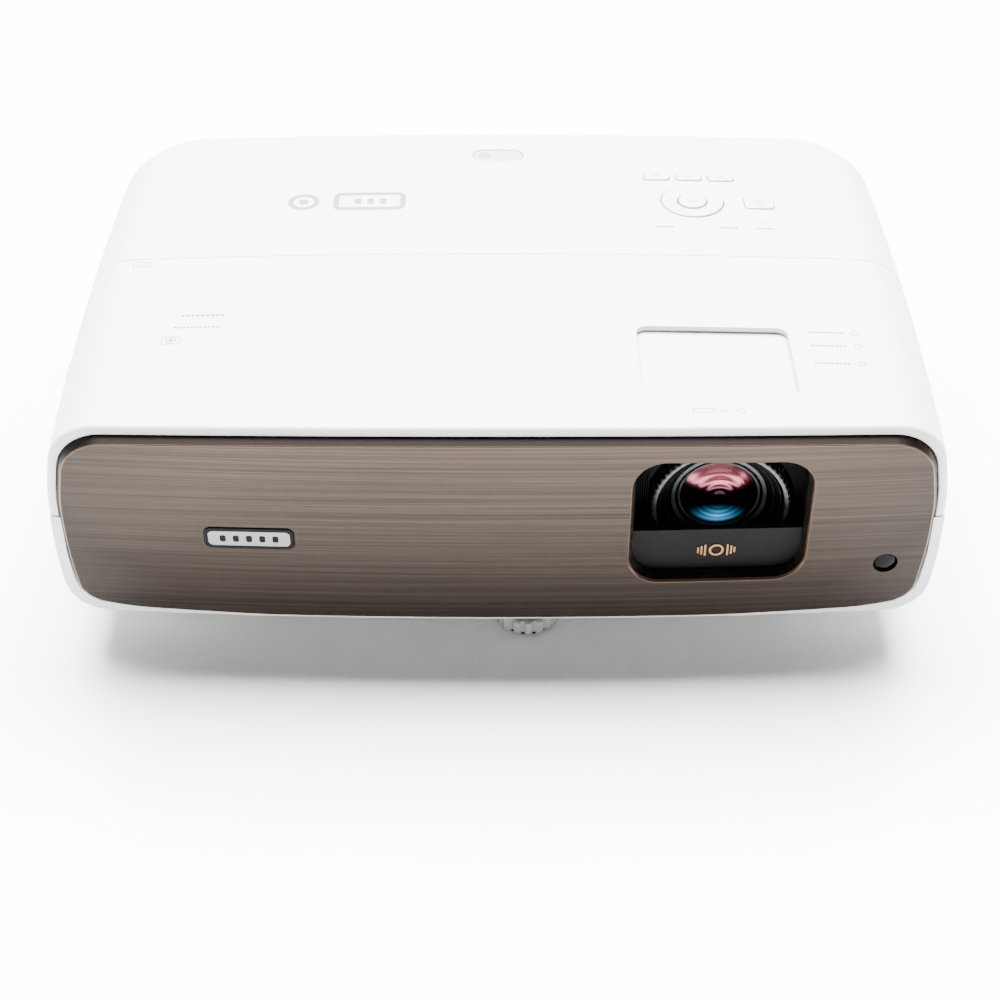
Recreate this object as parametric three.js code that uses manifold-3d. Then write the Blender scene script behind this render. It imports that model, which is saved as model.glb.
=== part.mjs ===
// A home projector: a wide white casing with a curved bronze front panel, a zoom lens in a
// dark shroud, lens controls under a sliding door, a keypad, screw feet and the works inside.
//
// Frame: millimetres, +Z up, the viewer in front of the lens looks along +Y and sees +X on
// the right. The origin is on the floor, under the middle of the casing.
import * as THREE from "three";
import { mergeVertices } from "three/addons/utils/BufferGeometryUtils.js";
import Module from "manifold-3d";

const wasm = await Module();
wasm.setup();

// ---------------------------------------------------------------- driving dimensions
const GAP = 0.3; // air between pieces that meet
const RUN = 0.6; // air around a piece that moves

// casing
const CASE_WIDTH = 380;
const CASE_DEPTH = 263;
const CASE_TOP = 130; // highest point above the floor, with the feet 3 mm out
const CASE_BOTTOM = 21; // underside above the floor
const WALL = 2.5;
const RIM = 4.4; // width of the white rim around the front panel
const RIM_LENGTH = 8;
const CROWN = 3.9; // rise of the top between its sides and its middle
const CROWN_REACH = 130; // the crown's facets end this far from the middle
const CROWN_STEPS = 2;
const SIDE_BOW = 2.9; // each side is this much narrower at the front than at its widest
const WIDEST_Y = -15;
const CORNER_REAR = 44;
const REAR_SLOPE = 10; // the rear wall leans in by this much above REAR_BREAK
const REAR_BREAK = 100;
const EDGE_REAR = 8;
const SHOULDER_INSET = 7; // the top corner lies this far inside the widest point
const FOOT_INSET = 2.5; // so does the bottom corner
const WIDEST_FROM = 33; // the sides stand upright between these heights over the underside
const WIDEST_TO = 66;
const R_SHOULDER = 17;
const R_BELLY = 26;
const R_SIDE = 100;

// front face: a gentle arc in plan, leaning back towards its foot
const FACE_RADIUS = 2570;
const FACE_LEAN = THREE.MathUtils.degToRad(4.6);
const PANEL_PROUD = 4;
const PANEL_SKIN = 2.4;
const PANEL_SETBACK = 5; // the panel's edge reaches this far behind the rim

// seams of the casing
const SEAM_TOP_Y = 5.4;
const SEAM_UPPER = 109.5; // top cover to side band
const SEAM_LOWER = 76; // side band to bottom case
const BAND_REAR_Y = 92;

// window, lens and shroud
const WINDOW = { x: 92.5, z: 79.3, width: 76, height: 67, radius: 14 };
const WINDOW_LIP = 6.5;
const LENS_X = 95;
const LENS_Z = 71;
const LENS_FRONT_Y = -104;
const FOCUS = { radius: 30, bore: 27, length: 12, teeth: 36, tooth: 0.9 };
const ZOOM = { radius: 29, bore: 27, length: 11, leverWidth: 7, leverTop: 118 };
const BARREL_RADIUS = 26.4;
const GLASS_RADIUS = 24;
const LIGHT_RADIUS = 15;
const CARRIAGE = { width: 64, height: 64, thick: 4 };
const SHIFT_TRAVEL = 2.5;
const SHROUD_PLATE_TOP = 67;
const SHROUD_WALL = 1.6;
const SHROUD_DEPTH = 20;
const EMBLEM = { width: 17, height: 8.5, thick: 0.5, x: 94, z: 57.5 };
const NAMEPLATE = { x: -103.5, z: 70.4, width: 38, height: 11, thick: 1.6, radius: 3 };
const RECEIVER = { x: 164.6, z: 53.2, radius: 5.1, thick: 2.6 };

// access door over the lens controls
const DOOR = { x: 91.7, y: -77.5, width: 65, depth: 50, radius: 4, thick: 1.6, under: 4 };
const PULL = { width: 18, depth: 2.8, height: 1.6 };
const SHIFT_DIAL = { x: 118, y: -62, radius: 7, height: 7, top: 118 };

// keypad
const KEY_PROUD = 0.7;
const KEY_TRAVEL = 0.8;
const PAD = { x: 91.8, y: 53.7, radius: 14.5, bore: 7.3, okRadius: 6.4, cushion: 3.5 };
const KEY_ROW = { y: 76.4, width: 12.2, depth: 6.6, pitch: 15.4, x0: 76.2 };
const POWER_KEY = { x: 123.2, y: 53, width: 13.6, depth: 10.4 };
const LIGHTS = { y: 35.1, xs: [76.8, 106.5, 123.2], radius: 1.1 };
const KEYPAD_BOARD = { z: 114.5, thick: 1.6 };
const PILL = { x: 0.3, y: 96.5, length: 24.3, width: 10.8 };

// feet
const FOOT_RANGE = 12;
const FRONT_FOOT = { x: 13.2, y: -94.8, radius: 14 };
const REAR_FOOT = { x: 138, y: 92, radius: 11 };
const FOOT_PAD = { height: 1.8, inset: 2.5 };
const FOOT_WHEEL = 6.5;
const FOOT_STEM = 5.5;
const FOOT_NOTCHES = 16;

// rear panel and its sockets
const REAR_PANEL = { x: 0, z: 66, width: 300, height: 64, thick: 2, inset: 1.2 };
const SOCKET_Z = 52;
const BOARD = { z: 43, thick: 1.6 };

// ---------------------------------------------------------------- solids and helpers
/** A closed solid from a three.js geometry. */
function solid(geometry) {
  const bare = geometry.index ? geometry.toNonIndexed() : geometry.clone();
  bare.deleteAttribute("normal");
  bare.deleteAttribute("uv");
  const merged = mergeVertices(bare, 1e-4);
  return new wasm.Manifold(
    new wasm.Mesh({
      numProp: 3,
      vertProperties: merged.attributes.position.array,
      triVerts: new Uint32Array(merged.index.array),
    }),
  );
}

/** A three.js geometry from a solid. */
function geometryOf(body) {
  const mesh = body.getMesh();
  const geometry = new THREE.BufferGeometry();
  const points = new Float32Array((mesh.vertProperties.length / mesh.numProp) * 3);
  for (let i = 0; i < points.length / 3; i++) {
    for (let k = 0; k < 3; k++) points[3 * i + k] = mesh.vertProperties[mesh.numProp * i + k];
  }
  geometry.setAttribute("position", new THREE.BufferAttribute(points, 3));
  geometry.setIndex(new THREE.BufferAttribute(new Uint32Array(mesh.triVerts), 1));
  geometry.computeVertexNormals();
  return geometry;
}

/** A box given by its centre and size. */
function box(x, y, z, width, depth, height) {
  return solid(new THREE.BoxGeometry(width, depth, height).translate(x, y, z));
}

/** A box given by its lowest and highest corners. */
function span(x0, y0, z0, x1, y1, z1) {
  return box((x0 + x1) / 2, (y0 + y1) / 2, (z0 + z1) / 2, x1 - x0, y1 - y0, z1 - z0);
}

/** A straight cylinder along "x", "y" or "z", given by the middle of its axis. */
function rod(axis, x, y, z, radius, length, sides = 20) {
  const shape = new THREE.CylinderGeometry(radius, radius, length, sides);
  if (axis === "x") shape.rotateZ(Math.PI / 2);
  if (axis === "z") shape.rotateX(Math.PI / 2);
  return solid(shape.translate(x, y, z));
}

/** A tube along an axis. */
function tube(axis, x, y, z, outer, inner, length, sides = 20) {
  return rod(axis, x, y, z, outer, length, sides).subtract(
    rod(axis, x, y, z, inner, length + 2, sides),
  );
}

/** The place of a corner. */
function toPoint([x, y]) {
  return new THREE.Vector2(x, y);
}

/** Points of a closed outline whose corners [x, y, r, steps] are rounded with arcs. */
function rounded(corners) {
  const points = [];
  corners.forEach(([x, y, r = 0, steps = 4], i) => {
    const here = toPoint([x, y]);
    const last = corners[(i + corners.length - 1) % corners.length];
    const next = corners[(i + 1) % corners.length];
    if (r <= 0) {
      points.push(here);
      return;
    }
    const back = toPoint(last).sub(here).normalize();
    const on = toPoint(next).sub(here).normalize();
    const half = Math.acos(THREE.MathUtils.clamp(back.dot(on), -1, 1)) / 2;
    const edge = Math.min(here.distanceTo(toPoint(last)), here.distanceTo(toPoint(next)));
    const run = Math.min(r / Math.tan(half), 0.499 * edge); // an arc takes at most half an edge
    const reach = run / Math.cos(half);
    const middle = back.clone().add(on).normalize().multiplyScalar(reach).add(here);
    const from = here.clone().addScaledVector(back, run).sub(middle);
    const to = here.clone().addScaledVector(on, run).sub(middle);
    const sweep = Math.atan2(from.cross(to), from.dot(to));
    for (let k = 0; k <= steps; k++) {
      points.push(from.clone().rotateAround(new THREE.Vector2(), (sweep * k) / steps).add(middle));
    }
  });
  return points;
}

/** Corners of a rectangle centred on x, y, for rounded(). */
function rectangle(x, y, width, height, r, steps = 4) {
  const [w, h] = [width / 2, height / 2];
  return [
    [x - w, y - h, r, steps],
    [x + w, y - h, r, steps],
    [x + w, y + h, r, steps],
    [x - w, y + h, r, steps],
  ];
}

/** An outline in X and Y raised from z0 to z1. */
function plate(points, z0, z1) {
  const options = { depth: z1 - z0, bevelEnabled: false, steps: 1 };
  return solid(new THREE.ExtrudeGeometry(new THREE.Shape(points), options).translate(0, 0, z0));
}

/** An outline in X and Z drawn out from y0 to y1 in a number of steps, then bent by bend(x, y). */
function prismY(points, y0, y1, steps = 1, bend = null) {
  const options = { depth: y1 - y0, bevelEnabled: false, steps };
  const shape = new THREE.ExtrudeGeometry(new THREE.Shape(points), options);
  shape.rotateX(Math.PI / 2).translate(0, y1, 0);
  if (bend) {
    const place = shape.attributes.position;
    for (let i = 0; i < place.count; i++) place.setX(i, bend(place.getX(i), place.getY(i)));
  }
  return solid(shape);
}

/** An outline in Y and Z drawn out from x0 to x1. */
function prismX(points, x0, x1) {
  const options = { depth: x1 - x0, bevelEnabled: false, steps: 1 };
  const shape = new THREE.ExtrudeGeometry(new THREE.Shape(points), options);
  shape.rotateY(Math.PI / 2).rotateX(Math.PI / 2).translate(x0, 0, 0);
  return solid(shape);
}

/** Everything of one list joined. */
function join(...bodies) {
  return bodies.reduce((sum, body) => sum.add(body));
}

/** The first solid less all the others. */
function cut(body, ...others) {
  return others.reduce((left, other) => left.subtract(other), body);
}

const root = new THREE.Group();

/** Adds a named piece with its own finish to the model. */
function piece(name, body, color, roughness, metalness = 0) {
  const material = new THREE.MeshStandardMaterial({ color, roughness, metalness });
  const mesh = new THREE.Mesh(geometryOf(body), material);
  mesh.name = name;
  root.add(mesh);
}

const WHITE = [0xf4f4f3, 0.45];
const BRONZE = [0x82756b, 0.35, 0.8];
const BLACK = [0x17181a, 0.55];
const DARK = [0x2c2d2f, 0.6];
const STEEL = [0xa9abad, 0.35, 1];
const BOARD_GREEN = [0x1f4a34, 0.5];

// ---------------------------------------------------------------- casing
const FRONT_Y = -CASE_DEPTH / 2;
const REAR_Y = CASE_DEPTH / 2;
const BEYOND = 400;

/** Z of the top surface at x. */
function topZ(x) {
  return CASE_TOP - CROWN * (x / (CASE_WIDTH / 2 - SHOULDER_INSET)) ** 2;
}

/** Front view of the casing, drawn in by inset. */
function frontOutline(inset) {
  const half = CASE_WIDTH / 2 - inset;
  const top = CASE_TOP - inset;
  const bottom = CASE_BOTTOM + inset;
  const shoulder = Math.max(R_SHOULDER - inset, 2);
  const belly = Math.max(R_BELLY - inset, 2);
  const right = [
    [half - FOOT_INSET, bottom, belly, 4],
    [half, CASE_BOTTOM + WIDEST_FROM],
    [half, CASE_BOTTOM + WIDEST_TO, R_SIDE, 1],
    [half - SHOULDER_INSET, top - CROWN, shoulder, 4],
  ];
  for (let k = CROWN_STEPS; k > 0; k--) {
    const x = (CROWN_REACH * k) / CROWN_STEPS;
    right.push([x, topZ(x) - inset]);
  }
  const left = right.map(([x, z, r, steps]) => [-x, z, r, steps]).reverse();
  return rounded([...right, [0, top], ...left]);
}

/** The sides bow out between the front and the rear. */
function bow(x, y) {
  const reach = (y - WIDEST_Y) / (FRONT_Y - WIDEST_Y);
  return x * (1 - (SIDE_BOW / (CASE_WIDTH / 2)) * reach * reach);
}

/** Y of the front panel's face at a place. */
function faceY(x, z) {
  return FRONT_Y + (x * x) / (2 * FACE_RADIUS) + (CASE_TOP - z) * Math.tan(FACE_LEAN);
}

/** Everything behind the front face moved back by offset, cut off at the given depth. */
function behindFace(offset, depth = BEYOND) {
  const points = [];
  const reach = CASE_WIDTH * 0.6;
  const steps = 10;
  for (let k = 0; k <= steps; k++) {
    const x = -reach + (2 * reach * k) / steps;
    points.push(new THREE.Vector2(x, (x * x) / (2 * FACE_RADIUS)));
  }
  const back = points.map((point) => point.clone().add(new THREE.Vector2(0, depth))).reverse();
  const options = { depth: 2 * CASE_TOP, bevelEnabled: false };
  const shape = new THREE.ExtrudeGeometry(new THREE.Shape([...points, ...back]), options);
  shape.translate(0, 0, -1.5 * CASE_TOP).rotateX(FACE_LEAN);
  return solid(shape.translate(0, FRONT_Y + offset / Math.cos(FACE_LEAN), CASE_TOP));
}

/** The whole casing as one block, drawn in by inset. */
function block(inset) {
  const y1 = REAR_Y - inset;
  const front = prismY(frontOutline(inset), FRONT_Y - 20, y1, 5, bow);
  const half = CASE_WIDTH / 2 - inset;
  const corner = CORNER_REAR - inset;
  const ahead = FRONT_Y - 30;
  const plan = rounded([
    [-half, ahead],
    [half, ahead],
    [half, y1, corner, 6],
    [-half, y1, corner, 6],
  ]);
  const edge = Math.max(EDGE_REAR - inset, 1);
  const side = rounded([
    [ahead, CASE_BOTTOM + inset],
    [y1, CASE_BOTTOM + inset, edge, 3],
    [y1, REAR_BREAK, 10, 2],
    [y1 - REAR_SLOPE, CASE_TOP - inset, edge, 4],
    [ahead, CASE_TOP - inset],
  ]);
  return front
    .intersect(plate(plan, -1, CASE_TOP + 20))
    .intersect(prismX(side, -CASE_WIDTH, CASE_WIDTH));
}

const outer = block(0).intersect(behindFace(PANEL_PROUD));
const mouth = prismY(frontOutline(RIM), FRONT_Y - 20, FRONT_Y + 60, 1, bow);
const cavity = join(
  block(WALL).intersect(behindFace(PANEL_PROUD + RIM_LENGTH)),
  mouth.subtract(behindFace(PANEL_PROUD + RIM_LENGTH + 1)),
);
const rearOpening = box(
  REAR_PANEL.x,
  REAR_Y,
  REAR_PANEL.z,
  REAR_PANEL.width,
  4 * WALL,
  REAR_PANEL.height,
);
const shell = cut(outer, cavity, rearOpening);

/** Half the space on one side of a seam, with the seam's gap taken off. */
const aboveUpper = span(-BEYOND, -BEYOND, SEAM_UPPER + GAP / 2, BEYOND, BEYOND, BEYOND);
const belowLower = span(-BEYOND, -BEYOND, -BEYOND, BEYOND, BEYOND, SEAM_LOWER - GAP / 2);
const aboveLower = span(-BEYOND, -BEYOND, SEAM_LOWER + GAP / 2, BEYOND, BEYOND, BEYOND);
const rearHalf = span(-BEYOND, SEAM_TOP_Y + GAP / 2, -BEYOND, BEYOND, BEYOND, BEYOND);
const frontHalf = span(-BEYOND, -BEYOND, -BEYOND, BEYOND, SEAM_TOP_Y - GAP / 2, BEYOND);
const rearEnd = span(-BEYOND, BAND_REAR_Y + GAP / 2, -BEYOND, BEYOND, BEYOND, BEYOND);

/** The access door's opening, grown all round by a clearance. */
function doorPrism(grow, z0, z1) {
  const { x, y, width, depth, radius } = DOOR;
  return plate(rounded(rectangle(x, y, width + 2 * grow, depth + 2 * grow, radius + grow)), z0, z1);
}

function frontTopCover() {
  const cover = shell.intersect(aboveUpper).intersect(frontHalf);
  return cut(cover, doorPrism(0, CASE_TOP - 20, CASE_TOP + 10));
}

/** A key's outline in plan, grown by a clearance. */
function keyOutline(x, y, width, depth, grow) {
  return rounded(rectangle(x, y, width + 2 * grow, depth + 2 * grow, 2 + grow, 2));
}

const KEYS = [
  ...["source_key", "menu_key", "back_key"].map((name, i) => ({
    name,
    x: KEY_ROW.x0 + i * KEY_ROW.pitch,
    y: KEY_ROW.y,
    width: KEY_ROW.width,
    depth: KEY_ROW.depth,
  })),
  { name: "power_key", ...POWER_KEY },
];

function rearTopCover() {
  const top = shell.intersect(aboveUpper).intersect(rearHalf);
  const back = shell.intersect(aboveLower).intersect(rearEnd);
  const holes = KEYS.map((key) =>
    plate(keyOutline(key.x, key.y, key.width, key.depth, GAP), SEAM_UPPER, CASE_TOP + 5),
  );
  holes.push(rod("z", PAD.x, PAD.y, CASE_TOP, PAD.radius + RUN, 40, 28));
  for (const x of LIGHTS.xs) {
    holes.push(rod("z", x, LIGHTS.y, CASE_TOP, LIGHTS.radius + GAP, 40, 8));
  }
  holes.push(plate(pillOutline(GAP), SEAM_UPPER, CASE_TOP + 5));
  return cut(join(top, back), ...holes);
}

function pillOutline(grow) {
  const { x, y, length, width } = PILL;
  return rounded(rectangle(x, y, length + 2 * grow, width + 2 * grow, width / 2 + grow - 0.01, 5));
}

/** Ceiling mount bosses: place in X and Y. */
const BOSSES = [
  [-100, -60],
  [100, -60],
  [0, 88],
];
const BOSS = { radius: 6, bore: 2.1, height: 9 };

function footSocket(x, y) {
  return rod("z", x, y, CASE_BOTTOM + FOOT_RANGE / 2 + 4, FOOT_STEM + 3.5, FOOT_RANGE + 8, 16);
}

const FEET = [
  { name: "front_foot", ...FRONT_FOOT },
  { name: "rear_foot_left", ...REAR_FOOT, x: -REAR_FOOT.x },
  { name: "rear_foot_right", ...REAR_FOOT },
];

function bottomCase() {
  const tray = shell.intersect(belowLower);
  const posts = BOSSES.map(([x, y]) =>
    rod("z", x, y, CASE_BOTTOM + BOSS.height / 2, BOSS.radius, BOSS.height, 12),
  );
  const bores = BOSSES.map(([x, y]) =>
    rod("z", x, y, CASE_BOTTOM, BOSS.bore, 2 * BOSS.height - 3, 8),
  );
  const sockets = FEET.map((foot) => footSocket(foot.x, foot.y));
  const stemHoles = FEET.map((foot) =>
    rod("z", foot.x, foot.y, CASE_BOTTOM, FOOT_STEM + GAP, 4 * FOOT_RANGE + 20, 16),
  );
  return cut(join(tray, ...posts, ...sockets), ...bores, ...stemHoles);
}

/** Louvre slots through a side band. */
function louvres(side, y0, y1) {
  const slots = [];
  const count = 5;
  const pitch = (SEAM_UPPER - SEAM_LOWER - 6) / count;
  for (let k = 0; k < count; k++) {
    const z = SEAM_LOWER + 3 + pitch * (k + 0.5);
    slots.push(box(side * (CASE_WIDTH / 2), (y0 + y1) / 2, z, 30, y1 - y0, pitch * 0.55));
  }
  return slots;
}

const LAMP_DOOR = { y0: -62, y1: 4 };
const GRILLE_RIGHT = { y0: -106, y1: 84 };
const GRILLE_LEFT = { y0: 22, y1: 84 };

function sideBand(side) {
  const zone = span(
    side > 0 ? 120 : -BEYOND,
    -BEYOND,
    SEAM_LOWER + GAP / 2,
    side > 0 ? BEYOND : -120,
    BAND_REAR_Y - GAP / 2,
    SEAM_UPPER - GAP / 2,
  );
  return shell.intersect(zone);
}

function sideGrilleRight() {
  return cut(sideBand(1), ...louvres(1, GRILLE_RIGHT.y0, -8), ...louvres(1, 0, GRILLE_RIGHT.y1));
}

/** The lamp door's window in the left band, drawn in by inset. */
function lampDoorZone(inset) {
  return span(
    -BEYOND,
    LAMP_DOOR.y0 + inset,
    SEAM_LOWER + 3 + inset,
    -150,
    LAMP_DOOR.y1 - inset,
    SEAM_UPPER - 3 - inset,
  );
}

function sideGrilleLeft() {
  return cut(sideBand(-1), lampDoorZone(0), ...louvres(-1, GRILLE_LEFT.y0, GRILLE_LEFT.y1));
}

function lampDoor() {
  return sideBand(-1).intersect(lampDoorZone(GAP));
}

// ---------------------------------------------------------------- front
/** A flat outline on the front face, between two depths behind that face. */
function onFace(points, near, far) {
  return prismY(points, FRONT_Y - 20, FRONT_Y + 60).intersect(behindFace(near, far - near));
}

function windowOutline(inset) {
  const { x, z, width, height, radius } = WINDOW;
  return rounded(rectangle(x, z, width - 2 * inset, height - 2 * inset, radius - inset, 5));
}

function frontPanel() {
  const edge = prismY(frontOutline(RIM + GAP), FRONT_Y - 20, FRONT_Y + 60, 1, bow);
  const slab = edge.intersect(behindFace(0, PANEL_PROUD + PANEL_SETBACK));
  const inner = prismY(frontOutline(RIM + GAP + PANEL_SKIN), FRONT_Y - 20, FRONT_Y + 60, 1, bow);
  const hollow = inner.intersect(behindFace(PANEL_SKIN));
  const lip = onFace(windowOutline(-PANEL_SKIN), 0.5, WINDOW_LIP);
  const ring = onFace(circleXZ(RECEIVER.x, RECEIVER.z, RECEIVER.radius + 2, 20), 0.5, 5);
  return cut(
    join(slab.subtract(hollow), lip, ring),
    onFace(windowOutline(0), -5, 30),
    onFace(circleXZ(RECEIVER.x, RECEIVER.z, RECEIVER.radius + GAP, 20), -5, 30),
    onFace(nameplateOutline(GAP), -5, NAMEPLATE.thick / 2 + GAP),
  );
}

/** Points of a circle in X and Z. */
function circleXZ(x, z, radius, sides) {
  const points = [];
  for (let k = 0; k < sides; k++) {
    const angle = (2 * Math.PI * k) / sides;
    points.push(new THREE.Vector2(x + radius * Math.cos(angle), z + radius * Math.sin(angle)));
  }
  return points;
}

function nameplateOutline(grow) {
  const { x, z, width, height, radius } = NAMEPLATE;
  return rounded(rectangle(x, z, width + 2 * grow, height + 2 * grow, radius + grow));
}

function nameplate() {
  return onFace(nameplateOutline(0), -NAMEPLATE.thick / 2 + 0.6, NAMEPLATE.thick / 2);
}

function frontReceiver() {
  return onFace(circleXZ(RECEIVER.x, RECEIVER.z, RECEIVER.radius, 20), 0.4, RECEIVER.thick);
}

/** A dark box behind the window: four walls that end behind the focus ring, and a low front plate. */
function lensShroud() {
  const near = WINDOW_LIP + GAP;
  const outside = onFace(windowOutline(-PANEL_SKIN), near, near + SHROUD_DEPTH);
  const room = onFace(windowOutline(-PANEL_SKIN + SHROUD_WALL), near - 1, near + SHROUD_DEPTH + 1);
  const walls = cut(outside, room);
  const { x, z, width, height } = WINDOW;
  const low = span(
    x - width,
    -BEYOND,
    z - height,
    x + width,
    BEYOND,
    SHROUD_PLATE_TOP,
  );
  const plateFront = onFace(windowOutline(-PANEL_SKIN), near, near + 3).intersect(low);
  const swing = FOCUS.radius + SHIFT_TRAVEL + RUN;
  const ringRoom = rod("y", LENS_X, FOCUS_Y - RUN + SHROUD_DEPTH, LENS_Z, swing, 2 * SHROUD_DEPTH, 32);
  return join(cut(walls, ringRoom), plateFront);
}

function shroudEmblem() {
  const { x, z, width, height, thick } = EMBLEM;
  const y = faceY(x, z) + WINDOW_LIP - thick;
  return box(x, y, z, width, thick, height);
}

// ---------------------------------------------------------------- lens
/** A ring around the lens axis with teeth on its outside. */
function toothedRing(yFront, ring) {
  const points = [];
  for (let k = 0; k < ring.teeth; k++) {
    for (const [shift, lower] of [[0, 0], [0.5, 0], [0.6, 1], [0.9, 1]]) {
      const angle = (2 * Math.PI * (k + shift)) / ring.teeth;
      const radius = ring.radius - lower * ring.tooth;
      points.push(
        new THREE.Vector2(LENS_X + radius * Math.cos(angle), LENS_Z + radius * Math.sin(angle)),
      );
    }
  }
  return prismY(points, yFront, yFront + ring.length);
}

const FOCUS_Y = LENS_FRONT_Y;
const BARREL_Y = FOCUS_Y + 3;
const GLASS_Y = BARREL_Y + 8; // floor of the well that holds the front glass
const ZOOM_Y = FOCUS_Y + FOCUS.length + RUN;
const CARRIAGE_Y = ZOOM_Y + ZOOM.length + RUN;
const MOUNT_Y = CARRIAGE_Y + CARRIAGE.thick + RUN;

function focusRing() {
  const middle = FOCUS_Y + FOCUS.length / 2;
  return cut(
    toothedRing(FOCUS_Y, FOCUS),
    rod("y", LENS_X, middle, LENS_Z, FOCUS.bore, FOCUS.length + 2, 32),
  );
}

function zoomRing() {
  const middle = ZOOM_Y + ZOOM.length / 2;
  const ring = rod("y", LENS_X, middle, LENS_Z, ZOOM.radius, ZOOM.length, 32);
  const lever = span(
    LENS_X - ZOOM.leverWidth / 2,
    ZOOM_Y + 2,
    LENS_Z + ZOOM.bore + 1,
    LENS_X + ZOOM.leverWidth / 2,
    ZOOM_Y + ZOOM.length - 2,
    ZOOM.leverTop,
  );
  const bore = rod("y", LENS_X, middle, LENS_Z, ZOOM.bore, ZOOM.length + 2, 32);
  return cut(join(ring, lever), bore);
}

/** The barrel: a stepped sleeve that both rings turn on, open at the front for the glass. */
function lensBarrel() {
  const y1 = CARRIAGE_Y - GAP;
  const y0 = BARREL_Y;
  const sleeve = rod("y", LENS_X, (y0 + y1) / 2, LENS_Z, BARREL_RADIUS, y1 - y0, 32);
  const well = rod("y", LENS_X, y0, LENS_Z, GLASS_RADIUS + GAP, 2 * (GLASS_Y - y0), 32);
  const light = rod("y", LENS_X, y1, LENS_Z, LIGHT_RADIUS, 80, 24);
  return cut(sleeve, well, light);
}

/** The front glass, a shallow dome turned about the lens axis. */
function frontGlass() {
  const profile = [new THREE.Vector2(0, 0), new THREE.Vector2(GLASS_RADIUS, 0)];
  const steps = 6;
  for (let k = 0; k <= steps; k++) {
    const angle = (Math.PI / 2) * (k / steps);
    profile.push(
      new THREE.Vector2(GLASS_RADIUS * Math.cos(angle), 2 + 4 * Math.sin(angle)),
    );
  }
  const dome = new THREE.LatheGeometry(profile, 28);
  dome.rotateX(Math.PI);
  return solid(dome.translate(LENS_X, GLASS_Y - GAP, LENS_Z));
}

function lensCarriage() {
  const y = CARRIAGE_Y + CARRIAGE.thick / 2;
  const { width, height, thick } = CARRIAGE;
  const plateBody = box(LENS_X, y, LENS_Z, width, thick, height);
  return cut(plateBody, rod("y", LENS_X, y, LENS_Z, LIGHT_RADIUS, thick + 2, 24));
}

/** The fixed plate on the engine, with two rails that guide the carriage up and down. */
function lensMount() {
  const { width, height, thick } = CARRIAGE;
  const tall = height + 2 * SHIFT_TRAVEL + 10;
  const back = span(
    LENS_X - width / 2 - 7,
    MOUNT_Y,
    LENS_Z - tall / 2,
    LENS_X + width / 2 + 7,
    MOUNT_Y + 4,
    LENS_Z + tall / 2,
  );
  const rails = [-1, 1].map((side) =>
    box(
      LENS_X + side * (width / 2 + 7 - 3),
      MOUNT_Y - thick / 2,
      LENS_Z,
      6 - RUN,
      thick + 0.1,
      tall,
    ),
  );
  const bore = rod("y", LENS_X, MOUNT_Y, LENS_Z, LIGHT_RADIUS + SHIFT_TRAVEL, 20, 24);
  return cut(join(back, ...rails), bore);
}

/** The shift dial stands on a stem beside the lens, under the access door. */
function shiftDial() {
  const { x, y, radius, height, top } = SHIFT_DIAL;
  const points = [];
  const ridges = 14;
  for (let k = 0; k < 2 * ridges; k++) {
    const angle = (Math.PI * k) / ridges;
    const r = radius - (k % 2) * 0.7;
    points.push(new THREE.Vector2(x + r * Math.cos(angle), y + r * Math.sin(angle)));
  }
  const head = plate(points, top - height, top);
  return join(head, rod("z", x, y, top - height - 2, 3, 6, 12));
}

// ---------------------------------------------------------------- access door
const DOOR_ANGLE = THREE.MathUtils.radToDeg(Math.atan(CROWN / (CASE_WIDTH / 2 - SHOULDER_INSET)));
const DOOR_TOP = topZ(DOOR.x) - WALL - RUN - 0.4;

function accessDoor() {
  const { x, y, width, depth, radius, thick, under } = DOOR;
  const wide = width + 2 * under;
  const panel = plate(rounded(rectangle(0, 0, wide, depth + 2 * under, radius)), -thick, 0);
  const pullY = -depth / 2 + PULL.depth / 2 + 0.6;
  const pull = box(0, pullY, PULL.height / 2 - 0.1, PULL.width, PULL.depth, PULL.height + 0.2);
  return join(panel, pull)
    .rotate([0, DOOR_ANGLE, 0])
    .translate([x, y, DOOR_TOP]);
}

// ---------------------------------------------------------------- keypad
const BOARD_TOP = KEYPAD_BOARD.z + KEYPAD_BOARD.thick / 2;
const KEY_FOOT = BOARD_TOP + KEY_TRAVEL + GAP;

function keyCap(key) {
  const outline = keyOutline(key.x, key.y, key.width, key.depth, 0);
  return plate(outline, KEY_FOOT, topZ(key.x) + KEY_PROUD);
}

function navigationRing() {
  const z1 = topZ(PAD.x) + KEY_PROUD;
  const z0 = KEY_FOOT + PAD.cushion;
  return tube("z", PAD.x, PAD.y, (z0 + z1) / 2, PAD.radius, PAD.bore, z1 - z0, 28);
}

/** The soft ring below the navigation ring, which lets it rock. */
function navigationCushion() {
  const z1 = KEY_FOOT + PAD.cushion - RUN;
  return tube("z", PAD.x, PAD.y, (KEY_FOOT + z1) / 2, PAD.radius - 2, PAD.bore + 1, z1 - KEY_FOOT, 20);
}

function okKey() {
  const z1 = topZ(PAD.x) + KEY_PROUD + 0.3;
  return rod("z", PAD.x, PAD.y, (KEY_FOOT + z1) / 2, PAD.okRadius, z1 - KEY_FOOT, 20);
}

function keypadBoard() {
  const { z, thick } = KEYPAD_BOARD;
  return span(62, LIGHTS.y - 5, z - thick / 2, 138, KEY_ROW.y + 9, z + thick / 2);
}

/** One clear moulding with three pins that carry the light up to the cover. */
function lightPipe() {
  const [first, , last] = LIGHTS.xs;
  const base = span(first - 2, LIGHTS.y - 2, BOARD_TOP + GAP, last + 2, LIGHTS.y + 2, BOARD_TOP + 2.5);
  const pins = LIGHTS.xs.map((x) => {
    const z1 = topZ(x) + 0.1;
    return rod("z", x, LIGHTS.y, (BOARD_TOP + 2 + z1) / 2, LIGHTS.radius, z1 - BOARD_TOP - 2, 8);
  });
  return join(base, ...pins);
}

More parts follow.
